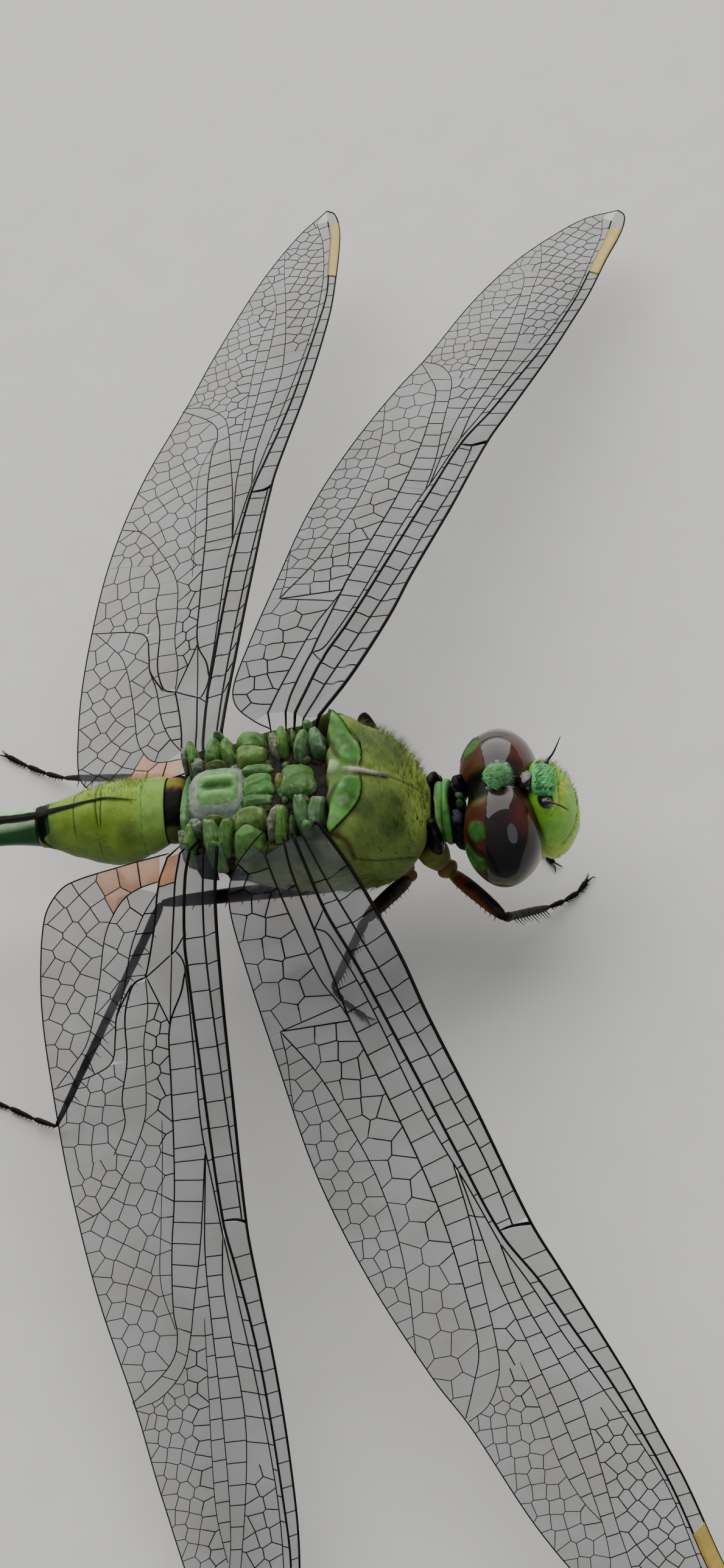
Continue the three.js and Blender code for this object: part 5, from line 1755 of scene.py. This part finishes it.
def build_leg(name, joints):
    root, trochanter, knee, ankle = [Vector(joint) for joint in joints[:4]]
    fore = name.startswith("fore")

    def along_limb(look, start, end):
        run = end - start
        look.share = lambda spot: (spot - start).dot(run) / run.length_squared
        return look

    bm = new_skin()
    add_limb(bm, root, trochanter.lerp(root, 0.15), [[0, 0.62], [0.5, 0.56], [1, 0.4]])
    add_limb(bm, trochanter.lerp(root, 0.22), trochanter.lerp(knee, 0.1),
        [[0, 0.36], [0.5, 0.4], [1, 0.3]])

    def coxa(spot, normal):
        hinge = ease(0.85, 0.5, (spot - trochanter).length)
        colour = mix(LEG_OLIVE, (OLIVE, 0.5 + 0.5 * wave(spot, 0.4)),
            (BROWN, 0.6 * ease(0, -0.8, normal.z)), (srgb("85603c"), 0.9 * hinge),
            (DARK_BROWN, 0 if fore else 0.45))
        return colour, 0.02 * wave(spot, 0.3)

    dress(bm, coxa)
    body_piece(f"coxa_{name}_joint", bm, "leg", "green_cuticle", "coxa_" + name)

    bm = new_skin()
    start = trochanter.lerp(knee, 0.06)
    add_limb(bm, start, knee, [[0, 0.27], [0.15, 0.29], [0.7, 0.27], [0.92, 0.24], [1, 0.2]],
        (0, 0, 0.08), rings=60)
    dress(bm, along_limb(leg_look(0.2 if fore else 0.04, 0.9), start, knee))
    add_spines(bm, start, knee, 9, 0.22, 0.27, 0.18, 0.5)
    body_piece(f"femur_{name}_limb", bm, "leg", "black_cuticle", "femur_" + name)

    bm = new_skin()
    add_limb(bm, knee, ankle, [[0, 0.2], [0.06, 0.23], [0.15, 0.17], [0.9, 0.14], [1, 0.12]],
        rings=60)
    dress(bm, along_limb(leg_look(-1, 0.15), knee, ankle))
    add_spines(bm, knee, ankle, 12, 0.12, 0.15, 0.42, 0.42)
    body_piece(f"tibia_{name}_limb", bm, "leg", "black_cuticle", "tibia_" + name)

    heights = [FLOOR + 0.28, FLOOR + 0.16, FLOOR + 0.15]
    stations = [ankle] + [Vector((x, y, z)) for (x, y), z in zip(joints[4:], heights)]
    bm = new_skin()
    for start, end in zip(stations, stations[1:]):
        add_limb(bm, start, end, [[0, 0.07], [0.3, 0.085], [0.85, 0.11], [1, 0.09]], sides=20,
            rings=24)
        add_spines(bm, start, end, 5, 0.08, 0.09, 0.14, 0.7)
    dress(bm, along_limb(leg_look(-1, 0.0), ankle, stations[-1]))
    body_piece(f"tarsus_{name}_foot", bm, "leg", "black_cuticle", "tarsus_" + name)

    bm = new_skin()
    ahead = (stations[-1] - stations[-2]).normalized()
    aside = ahead.cross(Vector((0, 0, 1))).normalized()
    for side in (1, -1):
        hook = [stations[-1] + ahead * (0.34 * sin(t * 1.9)) + aside * side * (0.03 + 0.16 * t)
            + Vector((0, 0, 0.05 * sin(t * pi) - 0.12 * t)) for t in (0, 0.2, 0.4, 0.6, 0.8, 1.0)]
        add_stalk(bm, [(spot, 0.05 * (1 - 0.85 * i / 5)) for i, spot in enumerate(hook)], 10)
    dress(bm, lambda spot, normal: (BLACK, 0))
    body_piece(f"claws_{name}", bm, "gloss", "black_cuticle")


def add_spines(bm, start, end, count, radius_start, radius_end, length, lean):
    """Adds two rows of spines down a limb, leaning towards its end."""
    tint = bm.verts.layers.float_color["tint"]
    run = (end - start).normalized()
    aside = run.cross(Vector((0, 0, 1))).normalized()
    under = run.cross(aside).normalized()
    for row in (1, -1):
        for i in range(count):
            share = 0.14 + 0.8 * (i + 0.25 * row) / count
            out = (aside * row * 0.8 + under * 0.6 * (1 if under.z < 0 else -1)).normalized()
            radius = radius_start + (radius_end - radius_start) * share
            foot = start.lerp(end, share) + out * radius * 0.8
            aim = (out + run * lean).normalized()
            size = length * random.uniform(0.75, 1.15)
            tilt = Vector((0, 0, 1)).rotation_difference(aim).to_matrix().to_4x4()
            middle = Matrix.Translation(foot + aim * size / 2)
            made = bmesh.ops.create_cone(bm, cap_ends=True, segments=7, radius1=SPINE_FOOT,
                radius2=SPINE_TIP, depth=size, matrix=middle @ tilt)["verts"]
            for vertex in made:
                vertex[tint] = BLACK


def build_legs():
    for name, joints in LEGS.items():
        build_leg(name, joints)


# ---- Finishes of the body ----

def tinted(name, mottle, depth, grain, relief, **gloss):
    """Cuticle coloured by its tint, mottled at so many patches and grained at so many pits to the
    millimetre. relief is the grain's depth in millimetres."""
    finish = new_material(name, **gloss)
    tint = finish.add("ShaderNodeAttribute", attribute_name="tint")
    patches = finish.add("ShaderNodeTexNoise", Vector=finish.place, Scale=per_mm(mottle),
        Detail=5.0, Roughness=0.6)
    shade = finish.add("ShaderNodeMapRange", Value=patches.outputs["Fac"], From_Min=0.3,
        From_Max=0.7, To_Min=1 - depth, To_Max=1 + depth)
    colour = finish.add("ShaderNodeVectorMath", operation="SCALE", Vector=tint.outputs["Color"],
        Scale=shade.outputs["Result"])
    finish.link(colour.outputs["Vector"], "Base Color")
    polish = finish.add("ShaderNodeMapRange", Value=patches.outputs["Fac"], From_Min=0.3,
        From_Max=0.7, To_Min=gloss["roughness"] * 0.75, To_Max=gloss["roughness"] * 1.25)
    finish.link(polish.outputs["Result"], "Roughness")
    pits = finish.add("ShaderNodeTexNoise", Vector=finish.place, Scale=per_mm(grain), Detail=3.0)
    bump = finish.add("ShaderNodeBump", Strength=0.6, Distance=relief * MM,
        Height=pits.outputs["Fac"])
    finish.link(bump.outputs["Normal"], "Normal")
    return finish


def make_body_looks():
    # Living green cuticle: thin tanned chitin over pigment, waxy, its gloss broken by fine grain.
    LOOKS["cuticle"] = tinted("green_waxy_cuticle", 2.2, 0.22, 9, 0.02, roughness=0.42,
        specular=0.06, coat_roughness=0.2, ior=1.56)
    # Thicker domed plates, smoother and shinier than the soft cuticle round them.
    LOOKS["plate"] = tinted("domed_plate_chitin", 3.5, 0.2, 12, 0.012, roughness=0.32,
        specular=0.04, coat=0.05, coat_roughness=0.1, ior=1.56)
    # The abdomen's cuticle, finely wrinkled along its length and less shiny.
    LOOKS["abdomen"] = tinted("abdomen_waxy_cuticle", 2.0, 0.2, 11, 0.02, roughness=0.45,
        specular=0.05, coat_roughness=0.22, ior=1.56)
    # The face's enamel-like chitin.
    LOOKS["face"] = tinted("face_enamel_chitin", 3.0, 0.14, 10, 0.012, roughness=0.36,
        specular=0.25, coat=0.12, coat_roughness=0.14, ior=1.56)
    # Facetted corneas: dark pigment under clear lenses, as smooth as glass at this scale.
    LOOKS["eye"] = tinted("eye_facetted_cornea", 1.4, 0.22, 26, 0.002, roughness=0.35,
        specular=0.05, coat=0.9, coat_roughness=0.045)
    # Hard black leg chitin with a dull polish.
    LOOKS["leg"] = tinted("leg_black_chitin", 3.0, 0.3, 14, 0.012, roughness=0.45,
        specular=0.05, coat_roughness=0.2, ior=1.56)
    # Small polished black parts: antennae, claws and the ocelli's mount.
    LOOKS["gloss"] = tinted("polished_black_chitin", 4.0, 0.2, 16, 0.006, roughness=0.28,
        specular=0.4, coat=0.4, coat_roughness=0.08, ior=1.56)
    # Setae: fine solid hairs of chitin.
    LOOKS["hair"] = tinted("seta_chitin", 6.0, 0.2, 20, 0.003, roughness=0.5,
        specular=0.05, coat_roughness=0.3, ior=1.55)


# ---- The whole insect ----

add_camera()
add_studio()
make_wing_looks()
make_body_looks()
build_wings()
skins = {"thorax": build_thorax()}
build_plates(skins["thorax"])
build_neck()
build_eyes()
build_temples()
build_crown()
skins["face"] = build_face()
build_antennae()
skins["abdomen"] = build_abdomen()
build_legs()
build_hair(skins)
